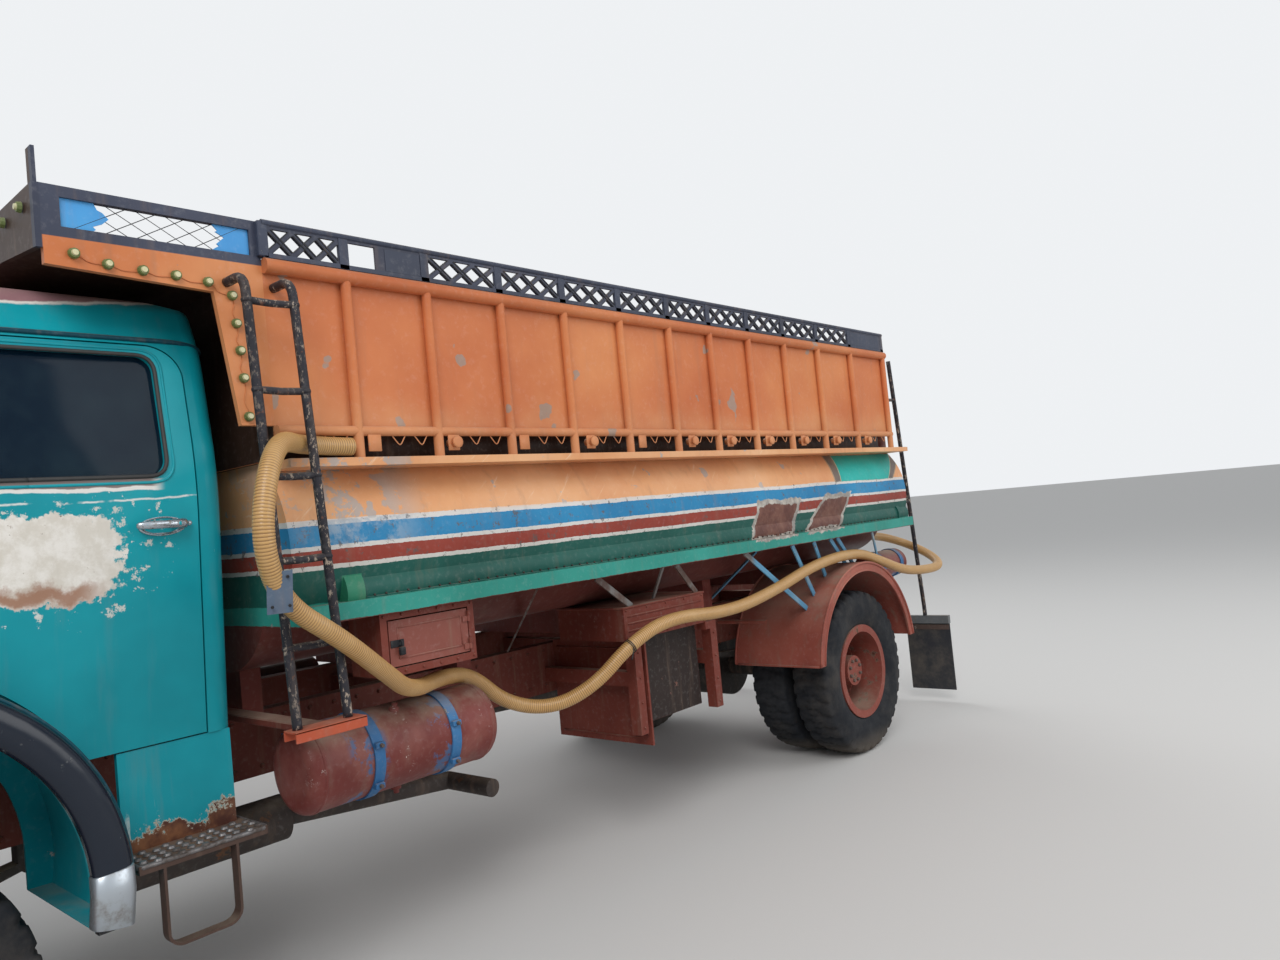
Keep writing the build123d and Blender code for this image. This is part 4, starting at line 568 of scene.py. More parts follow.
def door_marks(where, y, z, colour, edge_noise):
    """The big flaked patch with its rusty foot, small flakes round it, and a bare strip under the window."""
    ragged = (grain(where, 11, 8, 0.68) - 0.5) * 0.34 + (grain(where, 3, 3, 0.5) - 0.5) * 0.12
    middle = 1.0 - (((y + 2.24) / 0.33) ** 4.0 + ((z - 1.69) / 0.135) ** 4.0) ** 0.25
    middle = middle + ragged * 2.6
    patch = rise(middle, 0.0, 0.05)
    flake = rise(middle + grain(where, 30, 5, 0.7), 0.05, 0.12)
    flake = flake * rise(grain(where, 19, 6, 0.7, offset=5), 0.57, 0.6)
    chalk = tint(rise(grain(where, 14, 6, 0.7), 0.4, 0.66), (0.66, 0.62, 0.55), (0.8, 0.77, 0.72))
    chalk = tint(rise(grain(where, 33, 5, 0.7, offset=2), 0.66, 0.7), chalk, (0.25, 0.17, 0.12))
    foot = z + ragged * 0.4
    rust = band(foot, 1.565, 1.615, 0.018) * rise(y, -1.93, -2.05)
    chalk = tint(rust * 0.85, chalk, (0.3, 0.125, 0.06))
    colour = tint(greater(patch, flake * 0.8), colour, chalk)
    sill = z + edge_noise * 0.35
    colour = tint(band(sill, 1.883, 1.916, 0.002) * band(y, -2.6, -1.8, 0.02), colour, (0.75, 0.73, 0.69))
    colour = tint(band(sill, 1.895, 1.925, 0.002) * band(y, -2.6, -1.81, 0.02), colour, (0.235, 0.19, 0.18))
    return tint(band(sill + y * -0.012, 1.876, 1.881, 0.002) * rise(grain(where, 12, 3), 0.4, 0.5), colour,
                (0.68, 0.7, 0.67))


dress(cab_paint("cab_turquoise", 3, roof_marks), "cab_shell")
dress(cab_paint("door_turquoise", 31, door_marks), "door_left", "door_right")
dress(cab_paint("bonnet_turquoise", 41), "bonnet")


def gather(*parts):
    """Points and faces of several parts put together."""
    points, faces = [], []
    for more_points, more_faces in parts:
        faces += [tuple(index + len(points) for index in face) for face in more_faces]
        points += more_points
    return points, faces


def loft(rings, looped=False):
    """A closed skin over rings with equal counts of points, capped at both ends unless it is looped."""
    count = len(rings[0])
    points = [tuple(point) for ring in rings for point in ring]
    faces = []
    for index in range(len(rings) if looped else len(rings) - 1):
        after = (index + 1) % len(rings)
        for place in range(count):
            beside = (place + 1) % count
            faces.append((index * count + place, index * count + beside, after * count + beside,
                          after * count + place))
    if not looped:
        faces.append(tuple(reversed(range(count))))
        faces.append(tuple((len(rings) - 1) * count + place for place in range(count)))
    return points, faces


def slab(low, high, edge=0.003):
    """A box with chamfered edges between two corners."""
    middle = [(a + b) / 2 for a, b in zip(low, high)]
    half = [abs(b - a) / 2 for a, b in zip(low, high)]
    edge = min(edge, *(0.4 * h for h in half))
    rings = []
    for height, drawn in ((-half[2], edge), (-half[2] + edge, 0), (half[2] - edge, 0), (half[2], edge)):
        wide, deep = half[0] - drawn, half[1] - drawn
        rings.append([(middle[0] + x, middle[1] + y, middle[2] + height) for x, y in (
            (wide, -deep + edge), (wide, deep - edge), (wide - edge, deep), (-wide + edge, deep),
            (-wide, deep - edge), (-wide, -deep + edge), (-wide + edge, -deep), (wide - edge, -deep))])
    return loft(rings)


def tube(path, radius, step=0.02, sides=10):
    """A closed round bar along a path of points."""
    return tube_along([Vector(p) for p in path], lambda s: radius, step, sides)[:2]


def turned(profile, centre, axis, sides=24):
    """A closed form turned about an axis, its profile given as radius and place along the axis."""
    axis = Vector(axis).normalized()
    first = axis.orthogonal().normalized()
    second = axis.cross(first)
    return loft([[Vector(centre) + axis * along + radius * (math.cos(a) * first + math.sin(a) * second)
                  for a in turns(sides)] for radius, along in profile])


def rounded(corners, radius, steps=6):
    """An open path through corners, each of them but the ends turned by an arc of about the radius."""
    corners = [Vector(corner) for corner in corners]
    path = [corners[0]]
    for before, corner, after in zip(corners, corners[1:], corners[2:]):
        into, out = (before - corner), (after - corner)
        reach = min(radius, into.length / 2, out.length / 2)
        start, end = corner + into.normalized() * reach, corner + out.normalized() * reach
        for step in range(steps + 1):
            share = step / steps
            path.append(start.lerp(corner, share).lerp(corner.lerp(end, share), share))
    path.append(corners[-1])
    return path


def mirrored(part):
    """A part on the truck's other side."""
    points, faces = part
    return [(-x, y, z) for x, y, z in points], [tuple(reversed(face)) for face in faces]


def cab_side_x(z):
    """How far out the cab's side is at a height, found on its rear pillar."""
    return cad["cab_shell"].ray_cast((2, -1.672, z), (-1, 0, 0))[1].x


# Cab trim: black rubber round the door glass, a folded gutter over the doors, and on each door a
# chromed pull lever lying in its oval cup.
trim_rubber, shader, where = new_finish("trim_rubber")
put(shader, {"Base Color": tint(grain(where, 14, 4), (0.012, 0.013, 0.015), (0.05, 0.048, 0.045)),
             "Roughness": 0.62})
chrome, shader, where = new_finish("worn_chrome")
pitted = rise(grain(where, 60, 6, 0.7), 0.52, 0.66)
put(shader, {"Base Color": tint(pitted, (0.42, 0.46, 0.5), (0.2, 0.16, 0.12)), "Metallic": 0.85,
             "Roughness": 0.22 + pitted * 0.35})
# The gutter's dark blue is partly painted shade: it stands for the shadow line along the tops of the doors.
gutter_paint = old_paint("gutter_blue", (0.004, 0.06, 0.088), primer=(0.01, 0.2, 0.25), chips=0.4,
                         dusty=0.3, seed=47)
window_corners = [(-2.15, 1.922), (-1.772, 1.922), (-1.772, 2.308), (-2.412, 2.308), (-2.524, 1.922),
                  (-2.15, 1.922)]
seal = tube([(cab_side_x(p.y) + 0.0015, p.x, p.y) for p in rounded(window_corners, 0.055)],
            0.0065, 0.015, 8)
bead = tube([(cab_side_x(p.y) - 0.0005, p.x, p.y) for p in
             rounded(((-2.15, 1.903), (-1.752, 1.903), (-1.752, 2.326), (-2.424, 2.326), (-2.545, 1.903),
                      (-2.15, 1.903)), 0.065)], 0.005, 0.015, 8)
handle_z = 1.771
door_face = cab_side_x(handle_z)
cup = []
for out, share in ((-0.004, 1.0), (0.004, 0.99), (0.0065, 0.93), (0.0045, 0.86), (-0.002, 0.74),
                   (-0.003, 0.0)):
    cup.append([(door_face + out, -1.8 + 0.072 * share * math.cos(a),
                 handle_z - 0.004 + 0.03 * share * math.sin(a)) for a in turns(28)])
lever = []
for y, x, high, thick in ((-1.886, 1.142, 0.006, 0.004), (-1.88, 1.143, 0.011, 0.008),
                          (-1.85, 1.145, 0.0135, 0.0105), (-1.8, 1.146, 0.013, 0.0105),
                          (-1.77, 1.143, 0.0145, 0.0115), (-1.75, 1.137, 0.0165, 0.013),
                          (-1.737, 1.13, 0.015, 0.012), (-1.73, 1.128, 0.008, 0.006)):
    lever.append([(x + thick * math.cos(a), y, handle_z + high * math.sin(a)) for a in turns(14)])
root = [[(x, -1.745 + 0.013 * math.cos(a), handle_z + 0.013 * math.sin(a)) for a in turns(14)]
        for x in (door_face - 0.005, 1.136)]
button = [[(x, -1.722 + r * math.cos(a), handle_z + r * math.sin(a)) for a in turns(14)]
          for x, r in ((door_face - 0.005, 0.008), (door_face + 0.012, 0.008), (door_face + 0.015, 0.006))]
gutter_z = 2.360
gutter_x = cab_side_x(gutter_z) + 0.003
gutter_path = rounded([(0.86, -2.655, 2.262), (1.03, -2.61, 2.29), (gutter_x, -2.545, gutter_z - 0.004),
                       (gutter_x, -2.4, gutter_z), (gutter_x, -1.69, gutter_z),
                       (gutter_x - 0.012, -1.618, 2.35), (0.985, -1.592, 2.34)], 0.05)
gutter = tube(gutter_path, 0.0078, 0.02, 8)
for side, body in ((1, "door_left"), (-1, "door_right")):
    for name, part, finish in (("glass_seal", seal, trim_rubber),
                               ("window_bead", bead, cad["bonnet"].data.materials[0]),
                               ("door_cup", loft(cup), chrome),
                               ("door_lever", gather(loft(lever), loft(root), loft(button)), chrome)):
        formed(f"{name}_{body[5:]}", part if side > 0 else mirrored(part), finish, body)
formed("roof_gutters", gather(gutter, mirrored(gutter)), gutter_paint)

# Windscreen and back window: rubber round the panes and two wipers parked across the bottom.
screen_low, screen_high = 1.968, 2.407


def screen_y(z):
    """Where the windscreen's outer face is at a height."""
    return -2.800 + (z - 1.900) * 0.240 / 0.550 - 0.002


screen_corners = [(0, screen_low), (0.936, screen_low), (0.936, screen_high), (-0.936, screen_high),
                  (-0.936, screen_low), (0, screen_low)]
screen_seal = tube([(p.x, screen_y(p.y), p.y) for p in rounded(screen_corners, 0.075)], 0.009, 0.02, 8)
back_corners = [(0, 1.924), (0.486, 1.924), (0.486, 2.286), (-0.486, 2.286), (-0.486, 1.924), (0, 1.924)]
back_seal = tube([(p.x, -1.597, p.y) for p in rounded(back_corners, 0.065)], 0.009, 0.02, 8)
formed("screen_seals", gather(screen_seal, back_seal), trim_rubber)
wipers = []
for foot_x in (-0.42, 0.42):
    foot = (foot_x, screen_y(1.945) - 0.012, 1.945)
    tip = (foot_x + 0.30, screen_y(2.10) - 0.022, 2.10)
    wipers.append(tube([foot, tip], 0.005, 0.02, 8))
    wipers.append(tube([(tip[0] - 0.2, screen_y(2.005) - 0.012, 2.005),
                        (tip[0] + 0.16, screen_y(2.175) - 0.012, 2.175)], 0.006, 0.02, 8))
    wipers.append(loft([[(foot_x + r * math.cos(a), foot[1] + out, 1.945 + r * math.sin(a))
                         for a in turns(12)]
                        for out, r in ((-0.012, 0.012), (-0.006, 0.016), (0.03, 0.016))]))
formed("wipers", gather(*wipers), trim_rubber)

# Glass: dusty tinted panes set in black rubber, with a light film of dirt.
pane, shader, where = new_finish("dusty_pane")
film = rise(grain(where, 4, 5, 0.65), 0.35, 0.8)
put(shader, {"Base Color": tint(film, (0.003, 0.012, 0.026), (0.012, 0.028, 0.042)), "Roughness": 0.06,
             "IOR": 1.5, "Alpha": 0.93, "Specular IOR Level": 0.1})
dress(pane, "cab_glass", "door_glass_left", "door_glass_right")

# Cab inside: a bench in dark cloth, and a moulded dashboard with its steering wheel.
cloth, shader, where = new_finish("bench_cloth")
weave = worked(where, "ShaderNodeTexWave", {"Vector": where, "Scale": 90, "Distortion": 1.5}, out=1)
put(shader, {"Base Color": tint(grain(where, 12, 4), (0.05, 0.035, 0.03), (0.12, 0.085, 0.07)),
             "Roughness": 0.9, "Sheen Weight": 0.3})
relief(shader, weave, 0.001)


def stuffed(name, low, high, sewn, rests):
    """A stuffed pad: a closed grid, held along its sewn lines and where it rests, and blown up as cloth."""
    counts = [max(4, round((b - a) / 0.018)) for a, b in zip(low, high)]
    numbers, points, faces = {}, [], []
    for axis in range(3):
        u, v = (axis + 1) % 3, (axis + 2) % 3
        for end in (0, counts[axis]):
            for a in range(counts[u]):
                for b in range(counts[v]):
                    corners = []
                    for step_u, step_v in ((0, 0), (1, 0), (1, 1), (0, 1)):
                        key = [0, 0, 0]
                        key[axis], key[u], key[v] = end, a + step_u, b + step_v
                        if tuple(key) not in numbers:
                            numbers[tuple(key)] = len(points)
                            share = [k / c for k, c in zip(key, counts)]
                            place = Vector([p + (q - p) * t for p, q, t in zip(low, high, share)])
                            middle = (Vector(low) + Vector(high)) / 2
                            thin = min(q - p for p, q in zip(low, high)) / 2
                            edge = thin * 0.55
                            near = Vector([max(abs(place[n] - middle[n]) - (high[n] - low[n]) / 2 + edge, 0)
                                           for n in range(3)])
                            if near.length > edge:
                                shrink = near * (edge / near.length - 1)
                                place += Vector([math.copysign(shrink[n], place[n] - middle[n])
                                                 for n in range(3)])
                            points.append(place)
                        corners.append(numbers[tuple(key)])
                    faces.append(corners if end else corners[::-1])
    made = piece(name, points, faces, cloth, "chassis")
    held = made.vertex_groups.new(name="held")
    for key, number in numbers.items():
        if rests(key, counts) or sewn(key, counts):
            held.add([number], 1.0, "REPLACE")
            if not rests(key, counts):
                centre = (Vector(low) + Vector(high)) / 2
                if high[1] - low[1] < 0.2:
                    inward = 0.007 * Vector((0, math.copysign(1, centre.y - points[number].y), 0))
                else:
                    inward = Vector((0, 0, -0.007 if points[number].z > centre.z else 0))
                made.data.vertices[number].co += inward
    start = [vertex.co.copy() for vertex in made.data.vertices]
    swell = made.modifiers.new("swell", "CLOTH")
    swell.settings.quality = 5
    swell.settings.mass = 0.3
    swell.settings.tension_stiffness = swell.settings.compression_stiffness = 12
    swell.settings.bending_stiffness = 0.4
    swell.settings.use_pressure = True
    swell.settings.uniform_pressure_force = 4
    swell.settings.shrink_min = -0.05
    swell.settings.effector_weights.gravity = 0
    swell.settings.vertex_group_mass = "held"
    swell.point_cache.frame_start, swell.point_cache.frame_end = 1, 20
    for frame in range(1, 21):
        scene.frame_set(frame)
    grown = made.evaluated_get(bpy.context.evaluated_depsgraph_get()).to_mesh()
    ends = [vertex.co.copy() for vertex in grown.vertices]
    made.evaluated_get(bpy.context.evaluated_depsgraph_get()).to_mesh_clear()
    made.modifiers.remove(swell)
    for vertex, first, last in zip(made.data.vertices, start, ends):
        move = last - first
        vertex.co = first + move * min(1, 0.010 / max(move.length, 1e-6))
    scene.frame_set(1)
    smooth = made.modifiers.new("smooth", "SUBSURF")
    smooth.levels = 1
    made.data = bpy.data.meshes.new_from_object(made.evaluated_get(bpy.context.evaluated_depsgraph_get()))
    made.modifiers.remove(smooth)
    made.vertex_groups.clear()
    return made


seat_pads = stuffed(
    "seat_pads", (-0.848, -2.148, 1.484), (0.848, -1.700, 1.588),
    lambda key, counts: key[2] == counts[2] and key[0] % 8 == 0 and 2 < key[1] < counts[1] - 1,
    lambda key, counts: key[2] == 0)
back_pad = stuffed(
    "back_pad", (-0.848, -1.760, 1.606), (0.848, -1.678, 1.968),
    lambda key, counts: key[1] == 0 and key[0] % 8 == 0 and 1 < key[2] < counts[2] - 1,
    lambda key, counts: key[1] == counts[1])
for pad in (seat_pads, back_pad):
    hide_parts("seat_bench")
seat_base = gather(slab((-0.8, -1.99, 1.147), (0.8, -1.972, 1.48), 0.004),
                   slab((-0.8, -1.972, 1.147), (-0.782, -1.667, 1.48), 0.004),
                   slab((0.782, -1.972, 1.147), (0.8, -1.667, 1.48), 0.004),
                   slab((-0.845, -2.14, 1.47), (0.845, -1.668, 1.484), 0.004))
formed("seat_base", seat_base, frame_finish, smooth=False)
plastic, shader, where = new_finish("dash_plastic")
put(shader, {"Base Color": tint(grain(where, 8, 4), (0.018, 0.02, 0.022), (0.05, 0.048, 0.045)),
             "Roughness": 0.55})
relief(shader, grain(where, 260, 2), 0.0006)
dress(plastic, "dashboard")

# Front fenders: turquoise pressings with a flare brushed gloss black over the arch.
material, shader, where = new_finish("fender_turquoise")
x, y, z = split(where)
out = abs(x)
flare = rise(out, 1.196, 1.198)
gloss = tint(grain(where, 5, 5), (0.012, 0.014, 0.017), (0.035, 0.038, 0.042))
colour = tint(flare, teal, gloss)
dress(old_paint((material, shader, where), colour, primer=(0.4, 0.38, 0.35), chips=0.25, streaks=0.2,
                dusty=0.45, rough=0.3, bump=0.6, seed=52), "front_fenders")

# Cab steps: turquoise skirts with rust creeping up from the bottom edge, and worn steel treads.
material, shader, where = new_finish("step_turquoise")
x, y, z = split(where)
creep = z + grain(where, 11, 8, 0.75) * -0.3
drips = rise(grain(where, 26, 4, 0.6, (1, 1, 0.1)), 0.58, 0.62) * rise(creep, 0.8, 0.74)
colour = tint(drips * 0.75, teal, (0.52, 0.56, 0.54))
colour = tint(rise(creep, 0.716, 0.706), colour, (0.5, 0.45, 0.36))
colour = tint(rise(creep, 0.708, 0.696), colour, tint(rise(grain(where, 9, 5), 0.4, 0.65),
                                                      (0.075, 0.028, 0.02), (0.22, 0.095, 0.045)))
colour = tint(rise(z, 0.8005, 0.7995), colour, (0.07, 0.042, 0.033))
dress(old_paint((material, shader, where), colour, chips=0.05, streaks=0.2, dusty=0.3, rough=0.4, seed=57,
                bloom=0.0), "cab_steps")


def studs(name, places, radius, height, material, body="chassis", sides=6, top=0.8):
    """Bolt heads or rivets at places, each facing its own way, set out by Geometry Nodes and made a mesh."""
    seeds = bpy.data.meshes.new(name)
    seeds.from_pydata([place for place, facing in places], [], [])
    ways = seeds.attributes.new("facing", "FLOAT_VECTOR", "POINT")
    for item, (place, facing) in zip(ways.data, places):
        item.vector = facing
    made = bpy.data.objects.new(name, seeds)
    scene.collection.objects.link(made)
    group = bpy.data.node_groups.new(name, "GeometryNodeTree")
    sockets = {}
    for label, kind, way in (("Seeds", "NodeSocketGeometry", "INPUT"),
                             ("Radius", "NodeSocketFloat", "INPUT"), ("Height", "NodeSocketFloat", "INPUT"),
                             ("Sides", "NodeSocketInt", "INPUT"), ("Studs", "NodeSocketGeometry", "OUTPUT")):
        sockets[label] = group.interface.new_socket(label, in_out=way, socket_type=kind)
    given = group.nodes.new("NodeGroupInput").outputs
    stamp = joined(group, "GeometryNodeMeshCone", {"Vertices": given["Sides"],
                                                   "Radius Bottom": given["Radius"],
                                                   "Radius Top": calc_geometry(group, given["Radius"], top),
                                                   "Depth": given["Height"]})
    facing = joined(group, "GeometryNodeInputNamedAttribute", {"Name": "facing"}, data_type="FLOAT_VECTOR")
    turn = joined(group, "FunctionNodeAlignRotationToVector", {"Vector": facing.outputs[0]}, axis="Z")
    set_out = joined(group, "GeometryNodeInstanceOnPoints",
                     {"Points": given["Seeds"], "Instance": stamp.outputs[0], "Rotation": turn.outputs[0]})
    real = joined(group, "GeometryNodeRealizeInstances", {"Geometry": set_out.outputs[0]})
    dressed = joined(group, "GeometryNodeSetMaterial", {"Geometry": real.outputs[0], "Material": material})
    group.links.new(dressed.outputs[0], group.nodes.new("NodeGroupOutput").inputs[0])
    modifier = made.modifiers.new(name, "NODES")
    modifier.node_group = group
    for label, value in (("Radius", radius), ("Height", height), ("Sides", sides)):
        modifier[sockets[label].identifier] = value
    solid = bpy.data.meshes.new_from_object(made.evaluated_get(bpy.context.evaluated_depsgraph_get()))
    made.modifiers.clear()
    made.data = solid
    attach(made, body)
    return made


def calc_geometry(group, value, share):
    """A geometry value times a share."""
    return joined(group, "ShaderNodeMath", {0: value, 1: share}, operation="MULTIPLY").outputs[0]


# Step fittings: treads of pressed steel with raised anti-slip rings, worn bright, and round bar
# along their edges. Near-black discs in the rings stand for their holes: painted shade.
tread_steel, shader, where = new_finish("tread_steel")
rusty = rise(grain(where, 14, 6, 0.7), 0.42, 0.62)
put(shader, {"Base Color": tint(rusty, (0.17, 0.16, 0.16), (0.075, 0.058, 0.05)), "Metallic": 0.4,
             "Roughness": 0.38 + rusty * 0.4})
relief(shader, rusty, 0.001)
rings = [((side * (0.975 + 0.04 * column + 0.02 * (row % 2)), -1.950 + 0.034 * row, 0.8015), (0, 0, 1))
         for side in (-1, 1) for row in range(11) for column in range(6)
         if 0.975 + 0.04 * column + 0.02 * (row % 2) > 1.06]
studs("tread_rings", rings, 0.0125, 0.006, tread_steel, sides=14, top=0.72)
# Near-black discs set in the rings as their holes: painted shade.
hole_shade, shader, where = new_finish("tread_hole")
put(shader, {"Base Color": tint(grain(where, 40), (0.008, 0.007, 0.006), (0.02, 0.017, 0.014))})
studs("tread_holes", [((x, y, z + 0.0032), way) for (x, y, z), way in rings], 0.0088, 0.0008, hole_shade,
      sides=14, top=0.95)
edge_paths = []
for side in (-1, 1):
    edge_paths.append(tube([(side * 0.95, -1.968, 0.795), (side * 1.197, -1.968, 0.795),
                            (side * 1.197, -1.592, 0.795), (side * 0.95, -1.592, 0.795)], 0.0075, 0.02, 8))
formed("tread_edges", gather(*edge_paths), tread_steel)

# Flares: a pressed band round each wheel arch in gloss blue-black, with a turquoise lip outside it
# and a worn steel cap over its rear end.
arch_y, arch_z = -2.671, 0.783
band_section = [(1.196, 0.578), (1.226, 0.5785), (1.237, 0.589), (1.2425, 0.612), (1.243, 0.635),
                (1.2395, 0.656), (1.231, 0.672), (1.218, 0.6805), (1.196, 0.6805)]


def arch_ring(section, angle, grown=0.0):
    """A section of the band stood up at an angle round the arch."""
    ring = []
    for x, r in section:
        out = grown if x > 1.2 else 0
        reach = r + (grown if r > 0.63 else -grown)
        ring.append((x + out, arch_y + reach * math.cos(angle), arch_z + reach * math.sin(angle)))
    return ring


flare_gloss, shader, where = new_finish("flare_gloss")
scuffed = rise(grain(where, 9, 7, 0.7), 0.6, 0.66)
put(shader, {"Base Color": tint(scuffed, (0.008, 0.013, 0.024), (0.1, 0.105, 0.11)),
             "Roughness": 0.2 + scuffed * 0.4, "Specular IOR Level": 0.35})
relief(shader, grain(where, 3.5, 3, 0.5), 0.006)
cap_steel, shader, where = new_finish("cap_steel")
dull = rise(grain(where, 11, 6, 0.7), 0.5, 0.72)
put(shader, {"Base Color": tint(dull, (0.42, 0.46, 0.5), (0.26, 0.25, 0.24)), "Metallic": 0.7,
             "Roughness": 0.3 + dull * 0.3})
band_part = loft([arch_ring(band_section, math.radians(-9.8 + 199.6 * turn / 96)) for turn in range(97)])
lip_part = tube([(1.200, arch_y + 0.685 * math.cos(a), arch_z + 0.685 * math.sin(a))
                 for a in (math.radians(-6 + 192 * turn / 96) for turn in range(97))], 0.0055, 0.03, 8)
cap_part = loft([arch_ring(band_section, math.radians(angle), grown) for angle, grown in
                 ((-10.4, 0.0005), (-10.2, 0.003), (-2, 0.0035), (3.4, 0.003), (3.6, 0.0008))])
for name, part, finish in (("flare_bands", band_part, flare_gloss), ("flare_lips", lip_part, gutter_paint),
                           ("flare_caps", cap_part, cap_steel)):
    formed(name, gather(part, mirrored(part)), finish)

# Front end: a grey bumper, a pale slatted grille and the lamps.
dress(old_paint("bumper_grey", (0.13, 0.14, 0.145), primer=(0.3, 0.29, 0.27), chips=0.6, dusty=0.6,
                rough=0.5, seed=61), "front_bumper", "rear_bumper")
dress(old_paint("grille_white", (0.48, 0.49, 0.47), primer=(0.3, 0.28, 0.25), chips=0.45, dusty=0.5,
                rough=0.45, seed=64), "grille_panel")
lens, shader, where = new_finish("lamp_lens")
x, y, z = split(where)
colour = tint(rise(y, -0.01, 0.01), (0.72, 0.72, 0.68), (0.3, 0.012, 0.01))
put(shader, {"Base Color": colour, "Roughness": 0.12, "Coat Weight": 0.5})
flutes = worked(where, "ShaderNodeTexWave", {"Vector": where, "Scale": 22.0}, bands_direction="X", out=1)
relief(shader, flutes, 0.002)
dress(lens, "lamps")

# Lamps and bumpers: fluted glasses in chromed bezels, amber and red lenses on short round bodies,
# bolt heads on both bumpers, and thin wires down the grille.
clear_lens, shader, where = new_finish("clear_lens")
flutes = worked(where, "ShaderNodeTexWave", {"Vector": where, "Scale": 26.0}, bands_direction="X", out=1)
put(shader, {"Base Color": tint(flutes, (0.5, 0.53, 0.55), (0.78, 0.8, 0.8)), "Roughness": 0.1})
relief(shader, flutes, 0.0015)
amber = old_paint("amber_lens", (0.75, 0.22, 0.015), chips=0.0, streaks=0.05, dusty=0.2, rough=0.2,
                  bump=0.2, seed=66)
red_lens = old_paint("red_lens", (0.42, 0.012, 0.01), chips=0.0, streaks=0.05, dusty=0.2, rough=0.2,
                     bump=0.2, seed=67)
bezels, lenses, ambers, reds, bolts = [], [], [], [], []
for side in (-1, 1):
    bezels.append(turned([(0.107, 0.0), (0.111, 0.01), (0.109, 0.02), (0.1, 0.024), (0.092, 0.02),
                          (0.091, 0.006)], (side * 0.88, -3.65, 0.96), (0, -1, 0), 40))
    lenses.append(turned([(0.0925, 0.0), (0.09, 0.012), (0.078, 0.022), (0.055, 0.03), (0.028, 0.034),
                          (0.006, 0.0355)], (side * 0.88, -3.654, 0.96), (0, -1, 0), 36))
    ambers.append(turned([(0.038, 0.0), (0.038, 0.018), (0.03, 0.026), (0.008, 0.029)],
                         (side * 1.085, -3.6, 0.985), (0, -1, 0), 24))
    for place, into in ((0.645, reds), (0.700, ambers), (0.755, lenses)):
        into.append(turned([(0.024, 0.0), (0.024, 0.012), (0.018, 0.018), (0.005, 0.02)],
                           (side * place, 3.9145, 0.64), (0, 1, 0), 20))
    bolts += [((side * x, -3.9165, z), (0, -1, 0)) for x in (0.400, 0.460, 0.90) for z in (0.62, 0.70)]
    bolts += [((side * x, 3.8965, z), (0, 1, 0)) for x in (0.40, 0.46) for z in (0.72, 0.86, 0.96)]
for name, parts, finish in (("headlamp_bezels", bezels, chrome), ("lamp_glasses", lenses, clear_lens),
                            ("amber_lenses", ambers, amber), ("red_lenses", reds, red_lens)):
    formed(name, gather(*parts), finish)
studs("bumper_bolts", bolts, 0.013, 0.01, nut_finish)
grille_wires = [tube([(x, -3.628, 0.872), (x, -3.628, 1.155)], 0.0022, 0.2, 6)
                for x in (-0.36 + 0.024 * n for n in range(31))]
formed("grille_wires", gather(*grille_wires), trim_rubber)

# Mirrors: black pressed backs with a turned-in rim, a silvered glass in each, on bent round arms.
silver, shader, where = new_finish("mirror_silver")
put(shader, {"Base Color": tint(rise(grain(where, 12, 5), 0.45, 0.8), (0.62, 0.65, 0.68),
                                (0.4, 0.41, 0.41)), "Metallic": 1.0, "Roughness": 0.06})
head = []
for depth, drawn in ((-2.765, 0.014), (-2.768, 0.005), (-2.776, 0.0), (-2.794, 0.002), (-2.7995, 0.018)):
    inner, outer, low, high = 1.250 + drawn, 1.400 - drawn, 1.830 + drawn, 2.150 - drawn
    rim = ((1.325, low), (outer, low), (outer, high), (inner, high), (inner, low), (1.325, low))
    head.append([(p.x, depth, p.y) for p in rounded(rim, 0.03)][:-1])
glass_rim = ((1.325, 1.842), (1.388, 1.842), (1.388, 2.138), (1.262, 2.138), (1.262, 1.842),
             (1.325, 1.842))
glass = [[(p.x, depth, p.y) for p in rounded(glass_rim, 0.022)][:-1] for depth in (-2.766, -2.7635)]
arms = [tube([(1.330, -2.758, 1.845), (1.330, -2.758, 2.145)], 0.0112, 0.05, 12)]
arms += [tube(rounded([(root, -2.700, z), (1.20, -2.722, z), (1.330, -2.758, z)], 0.05), 0.0082, 0.02, 10)
         for z, root in ((1.880, 1.1195), (2.110, 1.0935))]
arms += [turned([(0.016, -0.004), (0.018, 0.002), (0.010, 0.008)], (root + 0.001, -2.700, z), (1, 0, 0), 14)
         for z, root in ((1.880, 1.1195), (2.110, 1.0935))]
backs = gather(loft(head), *arms)
mirror_heads = formed("mirror_heads", gather(backs, mirrored(backs)), plastic)
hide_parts("mirrors")
formed("mirror_glass", gather(loft(glass), mirrored(loft(glass))), silver)

# Tank: rolled steel in sun-bleached orange, with lining painted along its flanks by hand: blue,
# red and white stripes, dark green on the side tube and pale teal on the flange below it. At the
# rear are a turquoise panel and two patches flaked to brown primer, and grey shows through scratches.
orange = (0.70, 0.345, 0.160)
tank_finish, shader, where = new_finish("striped_tank")
x, y, z = split(where)
wobble = (grain(where, 2.2, 2, 0.4) - 0.5) * 0.012
frayed = (grain(where, 28, 6, 0.7) - 0.5) * 0.01
drawn = z + (wobble + frayed)
ramp = joined(where.tree, "ShaderNodeValToRGB", {})
ramp.color_ramp.interpolation = "CONSTANT"
linings = [(1.20, (0.11, 0.030, 0.024)), (1.3985, (0.030, 0.265, 0.215)), (1.4600, (0.012, 0.090, 0.072)),
           (1.5720, (0.58, 0.56, 0.52)), (1.5870, (0.27, 0.045, 0.030)), (1.6390, (0.60, 0.58, 0.55)),
           (1.6570, (0.018, 0.205, 0.410)), (1.7240, (0.62, 0.60, 0.57)), (1.7430, orange)]
while len(ramp.color_ramp.elements) < len(linings):
    ramp.color_ramp.elements.new(0.5)
for element, (height, colour) in zip(ramp.color_ramp.elements, linings):
    element.position = height - 1.2
    element.color = (*colour, 1)
put(ramp, {0: drawn - 1.2})
colour = Value(ramp.outputs[0])
